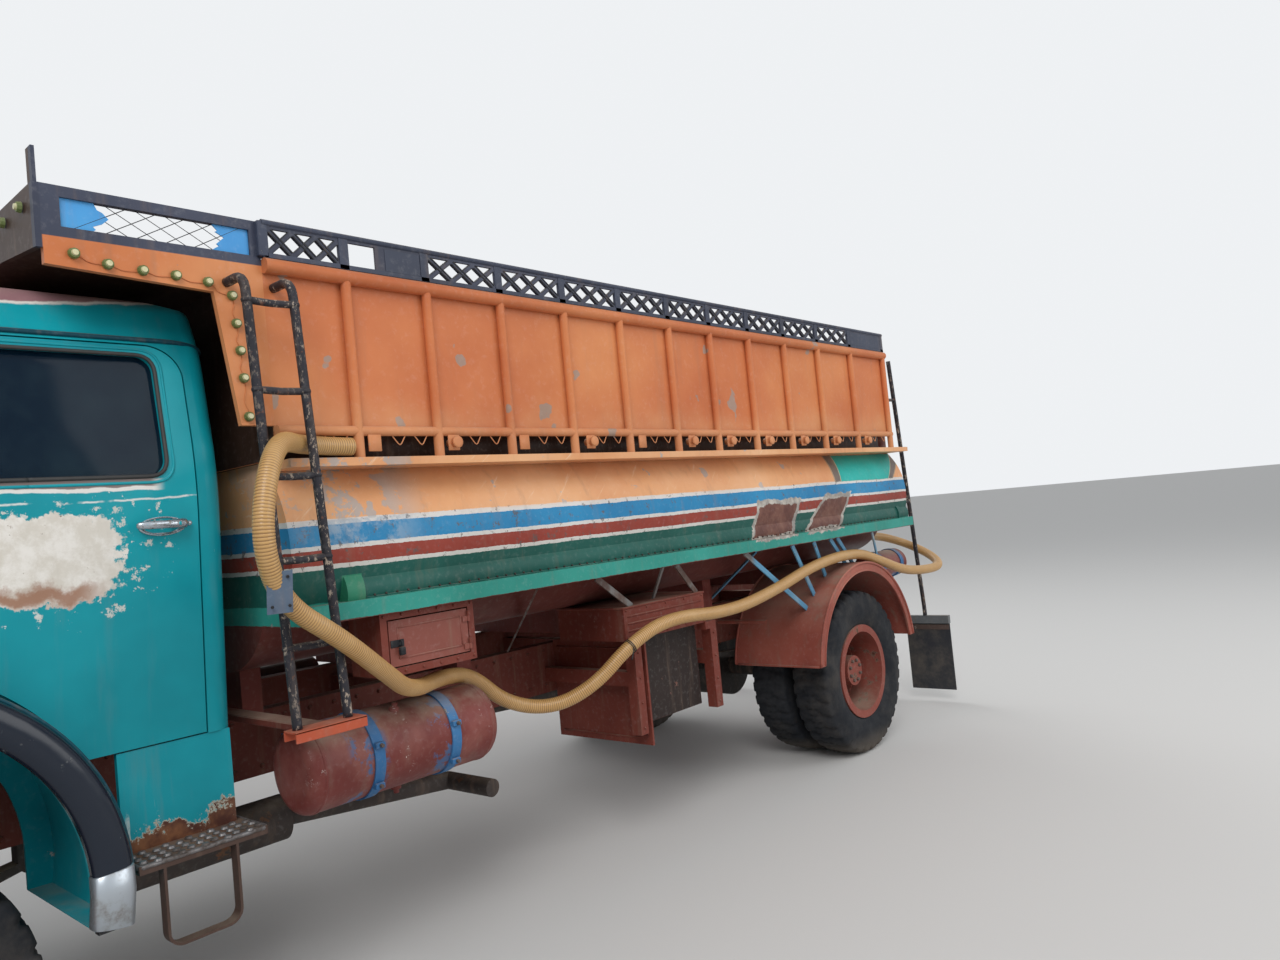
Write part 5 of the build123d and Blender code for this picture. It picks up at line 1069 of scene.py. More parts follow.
upper = band(drawn, 1.743, 1.922) * rise(abs(x), 0.95, 0.96)


def between(base_z, left, left_slope, right, right_slope):
    """How far a place lies inside two leaning edges, given by their place at base_z and their slope."""
    up = z - base_z
    return lesser(y - left - up * left_slope, right - y + up * right_slope)


for edges, low, high, ink in (((2.256, 0.13, 3.062, 1.55), -0.003, 9, (0.115, 0.105, 0.10)),
                              ((2.256, 0.13, 3.062, 1.55), -0.003, 0.010, (0.40, 0.30, 0.19)),
                              ((2.330, 0.30, 3.000, 1.28), 0.0, 0.008, (0.50, 0.46, 0.30)),
                              ((2.330, 0.30, 3.000, 1.28), 0.008, 9, (0.012, 0.375, 0.330))):
    inside = between(1.73, *edges) + frayed * 0.6
    colour = tint(band(inside, low, high, 0.002) * upper, colour, ink)
flakes = rise(grain(where, 24, 7, 0.78, offset=31), 0.585, 0.6) * band(z, 1.572, 1.75)
colour = tint(flakes * 0.8, colour, (0.105, 0.09, 0.085))
worn_blue = rise(grain(where, 7, 7, 0.72, offset=35), 0.44, 0.58) * band(z, 1.655, 1.745)
worn_blue = worn_blue * band(y, -1.36, -0.98, 0.12)
colour = tint(worn_blue * 0.75, colour, (0.3, 0.38, 0.46))
panel = rise(inside, 0.0, 0.004) * upper
torn = (grain(where, 9, 7, 0.7, offset=6) - 0.5) * 0.085
flank = rise(abs(x), 1.0, 1.02)
grey = tint(rise(grain(where, 13, 6, 0.7), 0.4, 0.65), (0.27, 0.25, 0.23), (0.52, 0.48, 0.42))
primer = tint(rise(grain(where, 10, 6, 0.7), 0.35, 0.7), (0.105, 0.038, 0.03), (0.19, 0.085, 0.06))
for edges, low, high in (((1.313, 0.448, 1.716, 0.622), 1.472, 1.64),
                         ((1.969, 1.33, 2.304, 0.883), 1.476, 1.646)):
    inside = lesser(between(1.56, *edges), lesser(z - low, high - z))
    inside = inside + torn
    colour = tint(rise(inside, -0.032, -0.028) * flank, colour, grey)
    colour = tint(rise(inside, 0.0, 0.004) * flank, colour, primer)
tube_x, tube_z = 1.120, 1.487
tube_reach = (abs(x) - tube_x) ** 2.0 + (z - tube_z) ** 2.0
end_ring = band(y, -1.256, -1.178) * rise(tube_reach, 0.0096, 0.0094)
colour = tint(end_ring, colour, (0.03, 0.205, 0.12))
# The tank's top, seen in the space under the boards, is painted dark brown: painted shade.
gap = rise(z, 1.957, 1.96) * rise(abs(x), 1.225, 1.215)
orange_zone = rise(z, 1.735, 1.75) * (1.0 - greater(gap, panel))
colour = tint(gap, colour, (0.045, 0.022, 0.016))
bleach = rise(grain(where, 1.4, 4, 0.6, offset=2), 0.42, 0.72)
colour = tint(bleach * orange_zone * 0.55, colour, (0.76, 0.45, 0.26))
scratched = rise(grain(where, 4.2, 8, 0.78, (1, 1, 2.2), 9), 0.63, 0.66)
spots = rise(grain(where, 6.5, 4, 0.5, offset=13), 0.665, 0.675)
front_wear = rise(grain(where, 5, 7, 0.7, offset=21), 0.5, 0.53) * band(y, -1.42, -0.95, 0.15)
bare = greater(greater(scratched, spots), front_wear) * orange_zone
colour = tint(bare * 0.75, colour, (0.36, 0.37, 0.37))
scrapes = grain(worked(where, "ShaderNodeMapping", {"Vector": where, "Rotation": (0.9, 0.0, 0.0)}), 7, 6,
                0.72, (1, 5, 0.35), 17)
colour = tint(rise(scrapes, 0.6, 0.7) * orange_zone * 0.6, colour, (0.78, 0.6, 0.42))
dress(old_paint((tank_finish, shader, where), colour, primer=(0.3, 0.28, 0.26), rust=(0.14, 0.06, 0.035),
                chips=0.18, chip_scale=10, streaks=0.22, dusty=0.35, rough=0.42, bump=0.8, seed=70),
      "tank_barrel")

# Side boards: flat orange sheets, redder where the paint is thick and paler along their feet. Road
# dust lies along the lower tube and runs down from the posts.
wall_finish, shader, where = new_finish("board_orange")
x, y, z = split(where)
colour = tint(rise(grain(where, 1.1, 3, 0.5), 0.35, 0.7), (0.555, 0.168, 0.062), (0.62, 0.225, 0.085))
foot = z + grain(where, 3, 5, 0.6) * -0.35
colour = tint(rise(foot, 2.05, 1.86) * 0.5, colour, (0.6, 0.3, 0.145))
head = rise(z, 2.45, 2.64) * 0.35
colour = tint(head, colour, (0.4, 0.11, 0.045))
colour = tint(rise(grain(where, 7, 3, 0.4, offset=31), 0.7, 0.715) * 0.7, colour, (0.28, 0.27, 0.24))
# The boards' inner faces and the front wall's face towards the cab are painted dark brown: painted shade.
facing = split(worked(where, "ShaderNodeNewGeometry", {}, out="Normal"))
inward = lesser(facing[0] * x, facing[1] * y)
board_shade = greater(rise(inward, -0.2, -0.6), rise(y, -1.462, -1.464))
board_shade = board_shade * rise(abs(x), 1.202, 1.198)
colour = tint(board_shade, colour, (0.05, 0.026, 0.018))
dress(old_paint((wall_finish, shader, where), colour, primer=(0.36, 0.33, 0.29), rust=(0.15, 0.06, 0.03),
                chips=0.0, chip_scale=8, streaks=0.16, dusty=0.3, rough=0.48, bump=0.7, seed=80),
      "side_walls", "end_walls")
dress(old_paint("lid_orange", (0.5, 0.2, 0.085), primer=(0.3, 0.27, 0.24), chips=0.5, dusty=0.7, seed=84),
      "manhole_lid")

# Board feet: under the lower tube are bracket plates and capped pipe stubs beside the posts, bent
# wire hooks between them, and behind, on the tank's shelf, a dark brown sheet as painted shade.
posts = [-1.465, -1.165, -0.820, -0.452, -0.086, 0.284, 0.651, 0.997, 1.362, 1.738, 2.132, 2.558, 3.030]
foot_plates, foot_stubs, hooks = [], [], []
for y in (-1.435, -1.107, -0.757, -0.392, 0.005, 0.362, 0.748, 1.086, 1.461, 1.846, 2.238, 2.660):
    foot_plates.append(slab((1.233, y - 0.026, 1.976), (1.240, y + 0.026, 2.036), 0.002))
for y in (-1.435, -0.757, 0.005, 0.748, 1.086, 1.461, 1.846, 2.238, 2.660):
    foot_stubs.append(turned([(0.017, -0.03), (0.019, 0.0), (0.019, 0.016), (0.023, 0.0165),
                              (0.0235, 0.024), (0.018, 0.027), (0.008, 0.0275)], (1.24, y, 2.006),
                             (1, 0, 0), 16))
for first, second in zip(posts, posts[1:]):
    for share in (0.48, 0.76):
        y = first + share * (second - first)
        hooks.append(tube([(1.228, y - 0.030, 2.036), (1.233, y - 0.004, 1.999), (1.233, y + 0.004, 1.999),
                           (1.228, y + 0.030, 2.036)], 0.0022, 0.01, 6))
# A dark brown sheet behind the board feet: painted shade in the space under the boards.
shade_sheet = slab((1.128, -1.440, 1.950), (1.134, 3.026, 2.062), 0.001)
shade_brown = old_paint("packing_brown", (0.03, 0.016, 0.012), primer=(0.06, 0.035, 0.025), chips=0.4,
                         dusty=0.1, seed=87)
weld = tube([(1.2030, -1.176, 1.4625), (1.2030, 3.068, 1.4625)], 0.0038, 0.2, 8)
for side, name in ((1, "left"), (-1, "right")):
    for label, part, finish in (("foot_plates", gather(*foot_plates), wall_finish),
                                ("foot_stubs", gather(*foot_stubs), wall_finish),
                                ("wire_hooks", gather(*hooks), wall_finish),
                                ("shade_sheets", shade_sheet, shade_brown),
                                ("tube_weld", weld, tank_finish)):
        formed(f"{label}_{name}", part if side > 0 else mirrored(part), finish)
# Dark dots along the side tube's weld: painted shade in the seam's gaps.
studs("weld_gaps", [((side * 1.2045, -1.14 + 0.047 * n, 1.4685), (side, 0, 0.3)) for side in (-1, 1)
                    for n in range(89)], 0.0042, 0.004, shade_brown, sides=6, top=0.9)

# Crown work: the lattice rail over the boards and the overhang's frame, in dark blue-grey paint.
dress(old_paint("lattice_grey", (0.048, 0.054, 0.082), primer=(0.16, 0.15, 0.15), chips=0.35, chip_scale=12,
                streaks=0.25, dusty=0.5, rough=0.45, seed=90), "lattice_rails")
dark_grey = old_paint("crown_dark", (0.04, 0.048, 0.075), primer=(0.15, 0.15, 0.16), chips=0.3,
                      chip_scale=14, dusty=0.3, rough=0.42, seed=91)
lattice_black = old_paint("lattice_black", (0.016, 0.017, 0.02), primer=(0.1, 0.1, 0.1), chips=0.3,
                          chip_scale=20, dusty=0.3, rough=0.5, seed=92)


def flat_strip(start, end, wide, face_x, out=0.0022):
    """A flat strip laid on a face at x, from one (y, z) place to another."""
    start, end = Vector(start), Vector(end)
    across = (end - start).orthogonal().normalized() * wide / 2
    corners = [start + across, end + across, end - across, start - across]
    return loft([[(x, p.x, p.y) for p in corners] for x in (face_x, face_x + out)])


rail_low, rail_high = 2.6443, 2.726
darks, blacks = [tube([(1.226, -1.4640, 2.745), (1.226, 3.049, 2.745)], 0.0115, 0.3, 12),
                 slab((1.196, -1.480, 2.630), (1.2335, -1.446, 2.750), 0.003)], []
for face, out in ((1.231, 0.0022), (1.221, -0.0022)):
    darks.append(flat_strip((-1.465, 2.6355), (3.05, 2.6355), 0.016, face, out))
    for number, place in enumerate(posts):
        shift = 0.010 if number == 0 else 0.0
        darks.append(flat_strip((place + shift, 2.628), (place + shift, 2.742),
                                0.036 - 2 * shift, face, out))
    darks.append(flat_strip((-0.995, 2.685), (-0.842, 2.685), 0.0815, face, out * 0.8))
    darks.append(flat_strip((2.578, 2.685), (3.01, 2.685), 0.0815, face, out * 0.8))
    for number, (start, end) in enumerate(zip(posts[:-2], posts[1:-1])):
        if number == 1:
            continue
        cell = (end - start - 0.040) / 3
        for cross in range(3):
            near = start + 0.020 + cross * cell
            run = Vector((cell, rail_high - rail_low)).normalized()
            for way in (-1, 1):
                short = Vector((way * run.x, run.y)) * 0.010
                low_end = Vector((near if way > 0 else near + cell, rail_low)) + short
                high_end = Vector((near + cell if way > 0 else near, rail_high)) - short
                beside = (high_end - low_end).orthogonal().normalized()
                for edge in ((-0.0065, 0.0065) if way < 0 else (-0.0085, 0.0085)):
                    blacks.append(flat_strip(low_end + beside * edge, high_end + beside * edge,
                                             0.0052 if way < 0 else 0.0022, face,
                                             out * (1.0 if way < 0 else 0.7)))
for side, name in ((1, "left"), (-1, "right")):
    for label, parts, finish in (("crown_rail", darks, dark_grey),
                                 ("lattice_lines", blacks, lattice_black)):
        part = gather(*parts)
        formed(f"{label}_{name}", part if side > 0 else mirrored(part), finish, smooth=False)

# Overhang fittings: blue end plates cut to points, wire mesh between them, and a string of little
# marker lamps on a slack wire along the orange strip and down the gusset.
plate_blue = old_paint("plate_blue", (0.065, 0.3, 0.64), primer=(0.35, 0.4, 0.46), chips=0.35,
                       chip_scale=11, dusty=0.2, rough=0.4, seed=96)
lamp_rim = old_paint("lamp_rim", (0.13, 0.17, 0.055), primer=(0.3, 0.33, 0.16), chips=0.6, chip_scale=60,
                     dusty=0.3, seed=98)
arrow_plates = []
for outline in ([(-2.056, 2.628), (-1.975, 2.628), (-1.958, 2.64), (-1.966, 2.648), (-1.94, 2.66),
                 (-1.922, 2.677), (-1.938, 2.694), (-1.952, 2.7), (-1.962, 2.722), (-2.056, 2.722)],
                [(-1.496, 2.628), (-1.496, 2.722), (-1.622, 2.722), (-1.6, 2.7), (-1.608, 2.695),
                 (-1.58, 2.68), (-1.606, 2.656), (-1.598, 2.65), (-1.632, 2.628)]):
    arrow_plates.append(loft([[(x, y, z) for y, z in outline] for x in (1.1995, 1.2030)]))
mesh_wires = []
for way in (-1, 1):
    for number in range(9):
        middle = -2.115 + 0.085 * number + (0.0 if way > 0 else 0.003)
        low_end, high_end = (middle - way * 0.078, 2.630), (middle + way * 0.078, 2.720)
        if min(low_end[0], high_end[0]) > -2.051 and max(low_end[0], high_end[0]) < -1.501:
            mesh_wires.append(tube([(1.2012 + 0.0008 * way, *low_end), (1.2012 + 0.0008 * way, *high_end)],
                                   0.0013, 0.05, 6))
string = [(-2.026, 2.557), (-1.938, 2.538), (-1.842, 2.533), (-1.746, 2.531), (-1.649, 2.523),
          (-1.575, 2.488), (-1.568, 2.398), (-1.562, 2.31), (-1.558, 2.221), (-1.551, 2.096)]
slack = []
for first, second in zip(string, string[1:]):
    slack += [(1.214, first[0] + (second[0] - first[0]) * t + 0.006 * math.sin(9 * t),
               first[1] + (second[1] - first[1]) * t - 0.01 * math.sin(math.pi * t))
              for t in (n / 8 for n in range(8))]
slack.append((1.2140, *string[-1]))
wire = tube(slack, 0.0013, 0.012, 6)
for side, name in ((1, "left"), (-1, "right")):
    for label, part, finish in (("arrow_plates", gather(*arrow_plates), plate_blue),
                                ("mesh_wires", gather(*mesh_wires), lattice_black),
                                ("lamp_wire", wire, cad["side_walls"].data.materials[0])):
        formed(f"{label}_{name}", part if side > 0 else mirrored(part), finish, smooth=False)
lamp_cream, shader, where = new_finish("lamp_cream")
put(shader, {"Base Color": tint(grain(where, 60, 3), (0.42, 0.4, 0.19), (0.72, 0.68, 0.42)),
             "Roughness": 0.25})
spots = [((side * 1.2155, y, z), (side, 0, 0)) for side in (-1, 1) for y, z in string]
spots += [((x, -2.1215, 2.700), (0, -1, 0)) for x in [-1.12 + 0.16 * n for n in range(15)]]
studs("marker_rims", spots, 0.0165, 0.012, lamp_rim, sides=10, top=0.85)
studs("marker_lenses", [((x + 0.006 * way[0], y + 0.006 * way[1], z), way) for (x, y, z), way in spots],
      0.0118, 0.012, lamp_cream, sides=12, top=0.7)

# Overhang: the orange of the boards, its frame picked out in dark blue-grey, and its underside and
# inner faces painted dark brown as painted shade.
material, shader, where = new_finish("overhang_orange")
x, y, z = split(where)
colour = tint(rise(grain(where, 1.6, 3, 0.5), 0.35, 0.7), (0.57, 0.185, 0.066), (0.64, 0.25, 0.1))
high = rise(z, 2.6, 2.603) * rise(abs(x), 1.188, 1.189)
colour = tint(high, colour, (0.052, 0.06, 0.092))
colour = tint(rise(y, -2.099, -2.103), colour, (0.045, 0.052, 0.08))
# Underside and inner faces painted dark brown: painted shade.
colour = tint(rise(abs(x), 1.189, 1.187), colour, (0.05, 0.026, 0.018))
dress(old_paint((material, shader, where), colour, primer=(0.3, 0.28, 0.25), chips=0.2, streaks=0.25,
                dusty=0.4, rough=0.45, seed=94), "overhang")

# Ladders: round bar in black paint that flakes to a pale undercoat and rust where hands and boots
# rub it. The front one stands on a red channel plate.
material, shader, where = new_finish("ladder_black")
x, y, z = split(where)
rubbed = 0.35 + rise(grain(where, 2.5, 3, 0.5), 0.4, 0.6) * 0.65
worn = rise(grain(where, 62, 6, 0.75, (1, 1, 0.5), 3), 0.555, 0.59) * rubbed
colour = tint(worn, (0.026, 0.025, 0.031), (0.36, 0.29, 0.23))
colour = tint(rise(grain(where, 31, 6, 0.7, offset=8), 0.6, 0.66) * 0.7, colour, (0.16, 0.07, 0.045))
plate = rise(z, 1.098, 1.094) * rise(y, -1.0, -1.2)
colour = tint(plate, colour, (0.33, 0.075, 0.048))
dress(old_paint((material, shader, where), colour, primer=(0.12, 0.075, 0.055), chips=0.5, chip_scale=45,
                dusty=0.3, rough=0.5, bump=0.7, seed=100), "ladders")
ladder_paint = material
bars = []
rails = [(-1.588, -1.533), (-1.431, -1.356)]
for top_y, foot_y in rails:
    bars.append(tube(rounded([(1.33, foot_y, 1.092), (1.33, top_y, 2.53), (1.2135, top_y, 2.53)], 0.082, 9),
                     0.0155, 0.02, 14))
for z in (2.448, 2.165, 1.891, 1.624, 1.350):
    share = (z - 1.087) / (2.530 - 1.087)
    ends = [(1.330, foot_y + share * (top_y - foot_y), z) for top_y, foot_y in rails]
    bars.append(tube([ends[0], (1.33, (ends[0][1] + ends[1][1]) / 2, z - 0.003), ends[1]],
                     0.0122, 0.02, 12))
    bars += [turned([(0.0165, -0.007), (0.0185, 0.0), (0.0165, 0.007)], end, (0, 0, 1), 14) for end in ends]
bars.append(tube(rounded([(0.96, 3.875, 0.655), (0.96, 3.875, 0.72), (1.06, 3.48, 2.62)], 0.05),
                 0.0155, 0.03, 14))
for x, y, z, wall_y in ((1.0042, 3.7004, 1.560, 3.2403), (1.0447, 3.5403, 2.330, 3.0503)):
    bars.append(tube([(x, wall_y, z), (x, y, z)], 0.0115, 0.03, 12))
climbing = formed("ladder_bars", gather(*bars), ladder_paint)
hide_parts("ladders")
foot_red = old_paint("foot_red", (0.43, 0.085, 0.04), primer=(0.24, 0.13, 0.1), chips=0.45, chip_scale=16,
                     dusty=0.35, seed=103)
formed("ladder_foot", gather(slab((1.29, -1.56, 1.088), (1.37, -1.311, 1.095), 0.002),
                             slab((1.363, -1.56, 1.06), (1.37, -1.311, 1.094), 0.002),
                             slab((1.29, -1.56, 1.06), (1.297, -1.311, 1.094), 0.002)), foot_red,
       smooth=False)
formed("ladder_arm", gather(slab((0.4703, -1.47, 1.062), (1.3, -1.4, 1.088), 0.004),
                            slab((0.4703, -1.47, 0.86), (0.5, -1.4, 1.09), 0.004)), frame_finish,
       smooth=False)
clamp_grey = old_paint("clamp_grey", (0.105, 0.145, 0.205), primer=(0.26, 0.26, 0.26), chips=0.5,
                       chip_scale=16, dusty=0.2, rough=0.4, seed=105)
clamp_plan = [(-0.036, -0.115), (-0.036, 0.0), (0.036, 0.0), (0.036, -0.115), (0.033, -0.115),
              (0.033, -0.003), (-0.033, -0.003), (-0.033, -0.115)]
clamp = loft([[(1.503 + 0.46 * a + 0.888 * b + lean, -1.642 + 0.888 * a - 0.46 * b, z)
               for a, b in clamp_plan] for z, lean in ((1.474, -0.012), (1.598, 0.004))])
formed("rail_clamp", clamp, clamp_grey, smooth=False)
studs("clamp_bolts", [((1.5035 + 0.46 * a, -1.6435 + 0.888 * a, z), (0.888, -0.46, 0))
                      for a in (-0.024, 0.024) for z in (1.495, 1.58)], 0.0055, 0.008, lattice_black)

# Hose tie: two turns of dark binding wire round the hose where it hangs from the locker, ends twisted.
tie_place = min(range(len(hose_path)), key=lambda n: (hose_path[n] - Vector((1.18, 0.195, 1.062))).length)
tie_way = (hose_path[tie_place + 2] - hose_path[tie_place - 2]).normalized()
tie_side = tie_way.orthogonal().normalized()
tie_other = tie_way.cross(tie_side)
binding = []
for shift in (-0.004, 0.004):
    ring = [[hose_path[tie_place] + tie_way * (shift + 0.0022 * math.sin(b)) +
             (0.0338 + 0.0022 * math.cos(b)) * (math.cos(a) * tie_side + math.sin(a) * tie_other)
             for b in turns(8)] for a in turns(28)]
    binding.append(loft(ring, looped=True))
start = hose_path[tie_place] + Vector((0.030, -0.012, -0.006))
binding.append(tube([start, start + Vector((0.02, -0.03, -0.022)), start + Vector((0.022, -0.045, -0.046))],
                    0.0028, 0.01, 8))
formed("hose_tie", gather(*binding), lattice_black)

# Air reservoirs: dark red vessels on blue-painted straps, one low beside the frame, one at the rear.
material, shader, where = new_finish("reservoir_red")
x, y, z = split(where)
colour = tint(rise(grain(where, 5, 5, 0.6), 0.4, 0.65), (0.185, 0.044, 0.038), (0.255, 0.088, 0.072))
for strap_y in (-1.130, -0.790, 3.380):
    smear = rise(grain(where, 8, 6, 0.7, offset=strap_y), 0.5, 0.56)
    beside = band(y, strap_y - 0.105, strap_y + 0.035, 0.02)
    colour = tint(smear * beside * 0.8, colour, (0.05, 0.15, 0.31))
fleck_patch = rise(grain(where, 3.2, 3, 0.5, offset=8), 0.56, 0.64)
flecks = rise(grain(where, 30, 6, 0.75, offset=5), 0.615, 0.63) * fleck_patch
colour = tint(flecks, colour, (0.62, 0.56, 0.52))
dress(old_paint((material, shader, where), colour, primer=(0.24, 0.13, 0.11), rust=(0.09, 0.04, 0.03),
                chips=0.45, chip_scale=9, dusty=0.75, rough=0.42, streaks=0.35, seed=110), "reservoirs")
dress(old_paint("strap_blue", (0.04, 0.15, 0.33), primer=(0.3, 0.28, 0.25), rust=(0.16, 0.07, 0.04),
                chips=0.65, chip_scale=14, dusty=0.6, rough=0.5, seed=114), "reservoir_straps")
material, shader, where = new_finish("stay_blue")
x, y, z = split(where)
colour = tint(rise(grain(where, 2.3, 2, 0.4), 0.44, 0.5), (0.13, 0.34, 0.52), (0.3, 0.42, 0.5))
colour = tint(rise(y + z * 0.25, 1.66, 1.6), colour, tint(rise(grain(where, 9, 5), 0.4, 0.6),
                                                          (0.21, 0.205, 0.2), (0.12, 0.075, 0.062)))
dress(old_paint((material, shader, where), colour, primer=(0.26, 0.12, 0.09), rust=(0.17, 0.06, 0.04),
                chips=0.6, chip_scale=12, dusty=0.6, rough=0.5, seed=117), "tank_stays")

# Reservoir fittings: pressed rings at the ends, drain plugs and unions, and on each strap a pair
# of ears with their bolts.
fittings = [turned([(0.1538, -0.008), (0.1572, -0.004), (0.1572, 0.004), (0.1538, 0.008)], (0.98, y, 0.88),
                   (0, 1, 0), 48) for y in (-1.338, -0.612)]
fittings += [turned([(0.0968, -0.006), (0.0998, -0.002), (0.0998, 0.002), (0.0968, 0.006)],
                    (0.95, y, 1.125), (0, 1, 0), 40) for y in (3.036, 3.454)]
plug = [(0.014, -0.02), (0.02, 0.0), (0.02, 0.016), (0.011, 0.017), (0.011, 0.032), (0.004, 0.034)]
for place, way in (((0.98, -0.566, 0.88), (0, 1, 0)), ((0.98, -0.975, 0.728), (0, 0, -1)),
                   ((1.045, -1.0, 1.018), (0.4, 0, 1)), ((0.95, 3.498, 1.125), (0, 1, 0)),
                   ((0.95, 3.24, 1.029), (0, 0, -1))):
    fittings.append(turned(plug, place, way, 12))
formed("reservoir_fittings", gather(*fittings), cad["reservoirs"].data.materials[0])
ears, ear_bolts = [], []
ear_size = Vector((0.011, 0.019, 0.011))
for y in (-1.130, -0.790):
    for angle in (-0.62, 0.30):
        out = Vector((math.cos(angle), 0, math.sin(angle)))
        middle = Vector((0.980, y, 0.880)) + out * 0.168
        ears.append(slab(middle - ear_size, middle + ear_size, 0.003))
        ear_bolts.append((middle + Vector((0.013, 0, 0)), (1, 0, 0)))
formed("strap_ears", gather(*ears), cad["reservoir_straps"].data.materials[0], smooth=False)
studs("strap_bolts", ear_bolts, 0.0085, 0.01, nut_finish)

# Toolbox and locker: folded sheet in brick red, scuffed at the corners, hung beside the frame.
box_paint, shader, where = new_finish("box_red")
x, y, z = split(where)
# The sunken panel in the locker's side is painted near-black: painted shade.
recess = band(y, 0.43, 0.86, 0.002) * band(z, 0.64, 1.062, 0.002)
recess = recess * band(x, 1.044, 1.056, 0.001)
box_colour = tint(recess, (0.175, 0.04, 0.027), (0.026, 0.017, 0.015))
box_finish = old_paint((box_paint, shader, where), box_colour, primer=(0.2, 0.105, 0.085),
                       rust=(0.11, 0.045, 0.03), chips=0.45, chip_scale=8, dusty=0.5, rough=0.55,
                       streaks=0.3, seed=120)
dress(box_finish, "toolbox", "side_locker")
dress(old_paint("box_door_red", (0.215, 0.066, 0.05), primer=(0.27, 0.17, 0.14), chips=0.55, dusty=0.6,
                rough=0.5, streaks=0.45, seed=124), "toolbox_door")

# Toolbox and locker fittings: a hasp with its padlock and a pressed panel on the toolbox door,
# rows of rivets, and ribs pressed into the locker with its lid over them.
hasp = gather(slab((1.1905, -1.084, 1.268), (1.1945, -1.028, 1.294), 0.0012),
              tube(rounded([(1.193, -1.046, 1.29), (1.206, -1.046, 1.29), (1.206, -1.046, 1.272),
                            (1.193, -1.046, 1.272)], 0.008), 0.0028, 0.006, 8),
              slab((1.1985, -1.058, 1.238), (1.2125, -1.034, 1.268), 0.003))
formed("toolbox_hasp", hasp, lattice_black, "toolbox_door", smooth=False)
pressing = gather(*(tube([(1.1895, a[0], a[1]), (1.1895, b[0], b[1])], 0.0035, 0.05, 6)
                    for a, b in (((-1.05, 1.225), (-0.765, 1.225)), ((-1.05, 1.337), (-0.765, 1.337)),
                                 ((-1.05, 1.225), (-1.05, 1.337)), ((-0.765, 1.225), (-0.765, 1.337)))))
formed("toolbox_pressing", pressing, cad["toolbox_door"].data.materials[0], "toolbox_door")
rivets = [((1.1905, -1.106 + 0.0785 * n, z), (1, 0, 0)) for n in range(6) for z in (1.179, 1.383)]
rivets += [((1.1115, y, z), (1, 0, 0)) for y in (0.268, 0.420, 0.566, 0.714, 0.862) for z in (1.078, 1.209)]
rivets += [((1.1115, y, z), (1, 0, 0)) for y in (0.326, 0.938) for z in (0.640, 0.760, 0.880, 1.000)]
studs("box_rivets", rivets, 0.0062, 0.005, box_finish, sides=10, top=0.6)
ribs = [tube([(1.1095, 0.275, z), (1.1095, 0.855, z)], 0.005, 0.1, 8) for z in (1.110, 1.145, 1.180)]
ribs += [tube([(0.5, 0.3745, 0.575), (1.085, 0.3745, 0.575), (1.085, 0.3745, 1.01), (0.5, 0.3745, 1.01)],
              0.0045, 0.1, 8)]
ribs += [slab((0.655, 0.244, 1.216), (1.114, 0.886, 1.227), 0.003)]
formed("locker_ribs", gather(*ribs), box_finish)

# Rear fenders: brick-red sheet over the twin wheels, faded to pink along the rolled arch edge.
material, shader, where = new_finish("rear_fender_red")
x, y, z = split(where)
colour = tint(rise(grain(where, 1.8, 4, 0.6), 0.35, 0.7), (0.25, 0.062, 0.045), (0.34, 0.1, 0.07))
colour = tint(rise(z, 0.98, 1.08) * 0.45, colour, (0.4, 0.135, 0.095))
dress(old_paint((material, shader, where), colour, primer=(0.33, 0.2, 0.16), rust=(0.1, 0.045, 0.03),
                chips=0.35, chip_scale=6, dusty=0.55, rough=0.5, streaks=0.6, bump=1.4, seed=130),
      "rear_fenders")
fender_y, fender_z = 2.390, 0.579
arcs = []
for reach, x, radius in ((0.634, 1.2505, 0.0085), (0.584, 1.2495, 0.0055), (0.641, 0.642, 0.006)):
    low = math.asin(0.083 / reach) + 0.004
    arcs.append(tube([(x, fender_y + reach * math.cos(a), fender_z + reach * math.sin(a)) for a in
                      (low + (math.pi - 2 * low) * n / 72 for n in range(73))], radius, 0.025, 8))
for end_y in (fender_y - 0.633, fender_y + 0.633):
    arcs.append(tube([(0.66, end_y, 0.664), (1.240, end_y, 0.664)], 0.007, 0.1, 8))
arcs = gather(*arcs)
formed("fender_beads", gather(arcs, mirrored(arcs)), material)

# Rear end: black rubber mud flaps, the painted discharge pipes and their riser, and a fuel tank.
flap, shader, where = new_finish("flap_rubber")
put(shader, {"Base Color": tint(rise(grain(where, 5, 6, 0.7), 0.4, 0.75), (0.022, 0.024, 0.03),
                                (0.09, 0.078, 0.066)), "Roughness": 0.7})
relief(shader, grain(where, 4, 4, 0.6), 0.01)
dress(flap, "mud_flaps")
dress(old_paint("pipe_iron", (0.12, 0.045, 0.038), primer=(0.2, 0.13, 0.1), chips=0.6, chip_scale=12,
                dusty=0.5, rough=0.5, seed=140), "discharge_pipes")
dress(old_paint("fuel_tank_grey", (0.16, 0.17, 0.175), primer=(0.3, 0.28, 0.25), chips=0.5, dusty=0.6,
                rough=0.42, seed=145), "fuel_tank")

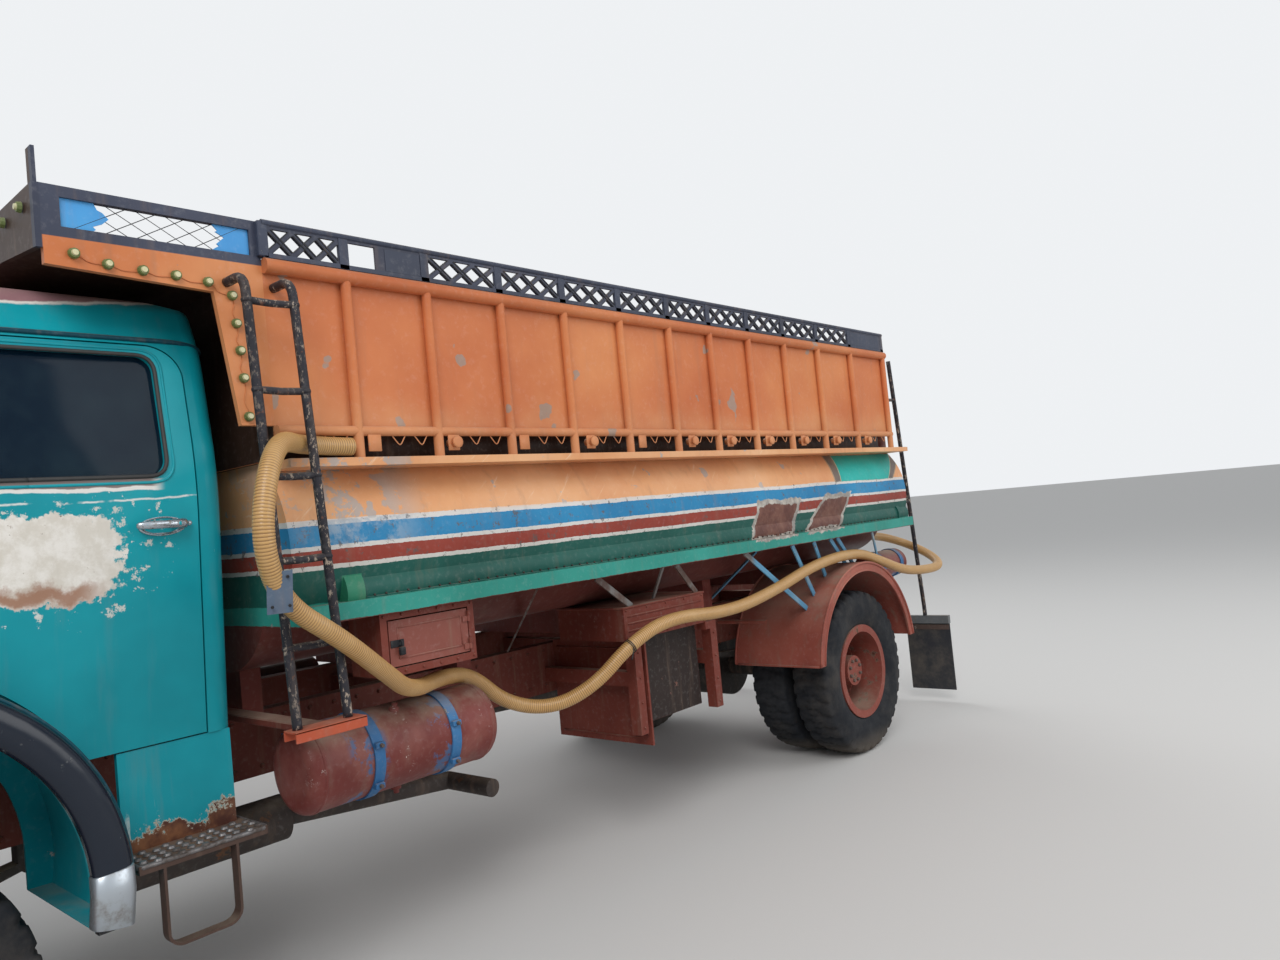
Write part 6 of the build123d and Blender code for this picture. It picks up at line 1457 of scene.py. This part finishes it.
# Rear fittings: steel straps across the mud flaps, handwheels on the valves, bolt heads, the fuel
# tank's chromed cap, and rivets in two rows along the frame.
straps, flap_bolts, wheel_parts = [], [], []
for side in (-1, 1):
    straps.append(slab((side * 0.975 - 0.172, 3.866, 0.552), (side * 0.975 + 0.172, 3.869, 0.590), 0.001))
    straps.append(slab((side * 0.975 - 0.172, 3.8805, 0.552), (side * 0.975 + 0.172, 3.8835, 0.590), 0.001))
    flap_bolts += [((side * 0.975 - 0.14 + 0.07 * n, 3.8850, 0.571), (0, 1, 0)) for n in range(5)]
formed("flap_straps", gather(*straps), nut_finish, smooth=False)
valve = Vector((0, 3.350, 1.470))
wheel_ring = []
for a in turns(32):
    spoke = Vector((math.cos(a), math.sin(a), 0))
    wheel_ring.append([valve + spoke * (0.070 + 0.008 * math.cos(b)) + Vector((0, 0, 0.008 * math.sin(b)))
                       for b in turns(10)])
wheel_parts.append(loft(wheel_ring, looped=True))
for a in (0.3, 0.3 + math.tau / 3, 0.3 + 2 * math.tau / 3):
    tip = (0.070 * math.cos(a), 3.350 + 0.070 * math.sin(a), 1.470)
    wheel_parts.append(tube([valve, tip], 0.0055, 0.02, 8))
wheel_parts.append(turned([(0.014, -0.012), (0.018, 0.0), (0.014, 0.012), (0.006, 0.018)], valve,
                          (0, 0, 1), 14))
wheel_parts.append(tube(rounded([(0.658, 3.33, 1.405), (0.658, 3.35, 1.418), (0.658, 3.43, 1.43)], 0.01),
                        0.007, 0.01, 10))
formed("valve_wheels", gather(*wheel_parts), cad["tank_stays"].data.materials[0])
flap_bolts += [((0.071 * math.cos(a), 3.4265, 1.33 + 0.071 * math.sin(a)), (0, 1, 0)) for a in turns(8)]
studs("rear_bolts", flap_bolts, 0.008, 0.007, nut_finish)
cap_neck = turned([(0.045, 0.0), (0.045, 0.028), (0.052, 0.029), (0.052, 0.046), (0.044, 0.052),
                   (0.012, 0.054)], (-0.95, -0.55, 1.046), (0, 0, 1), 28)
formed("fuel_cap", cap_neck, chrome)
rail_rivets = [((side * 0.4715, -3.55 + 0.11 * n, z), (side, 0, 0)) for side in (-1, 1) for n in range(66)
               for z in (0.815, 0.995)]
studs("frame_rivets", rail_rivets, 0.0105, 0.008, frame_finish, sides=10, top=0.55)
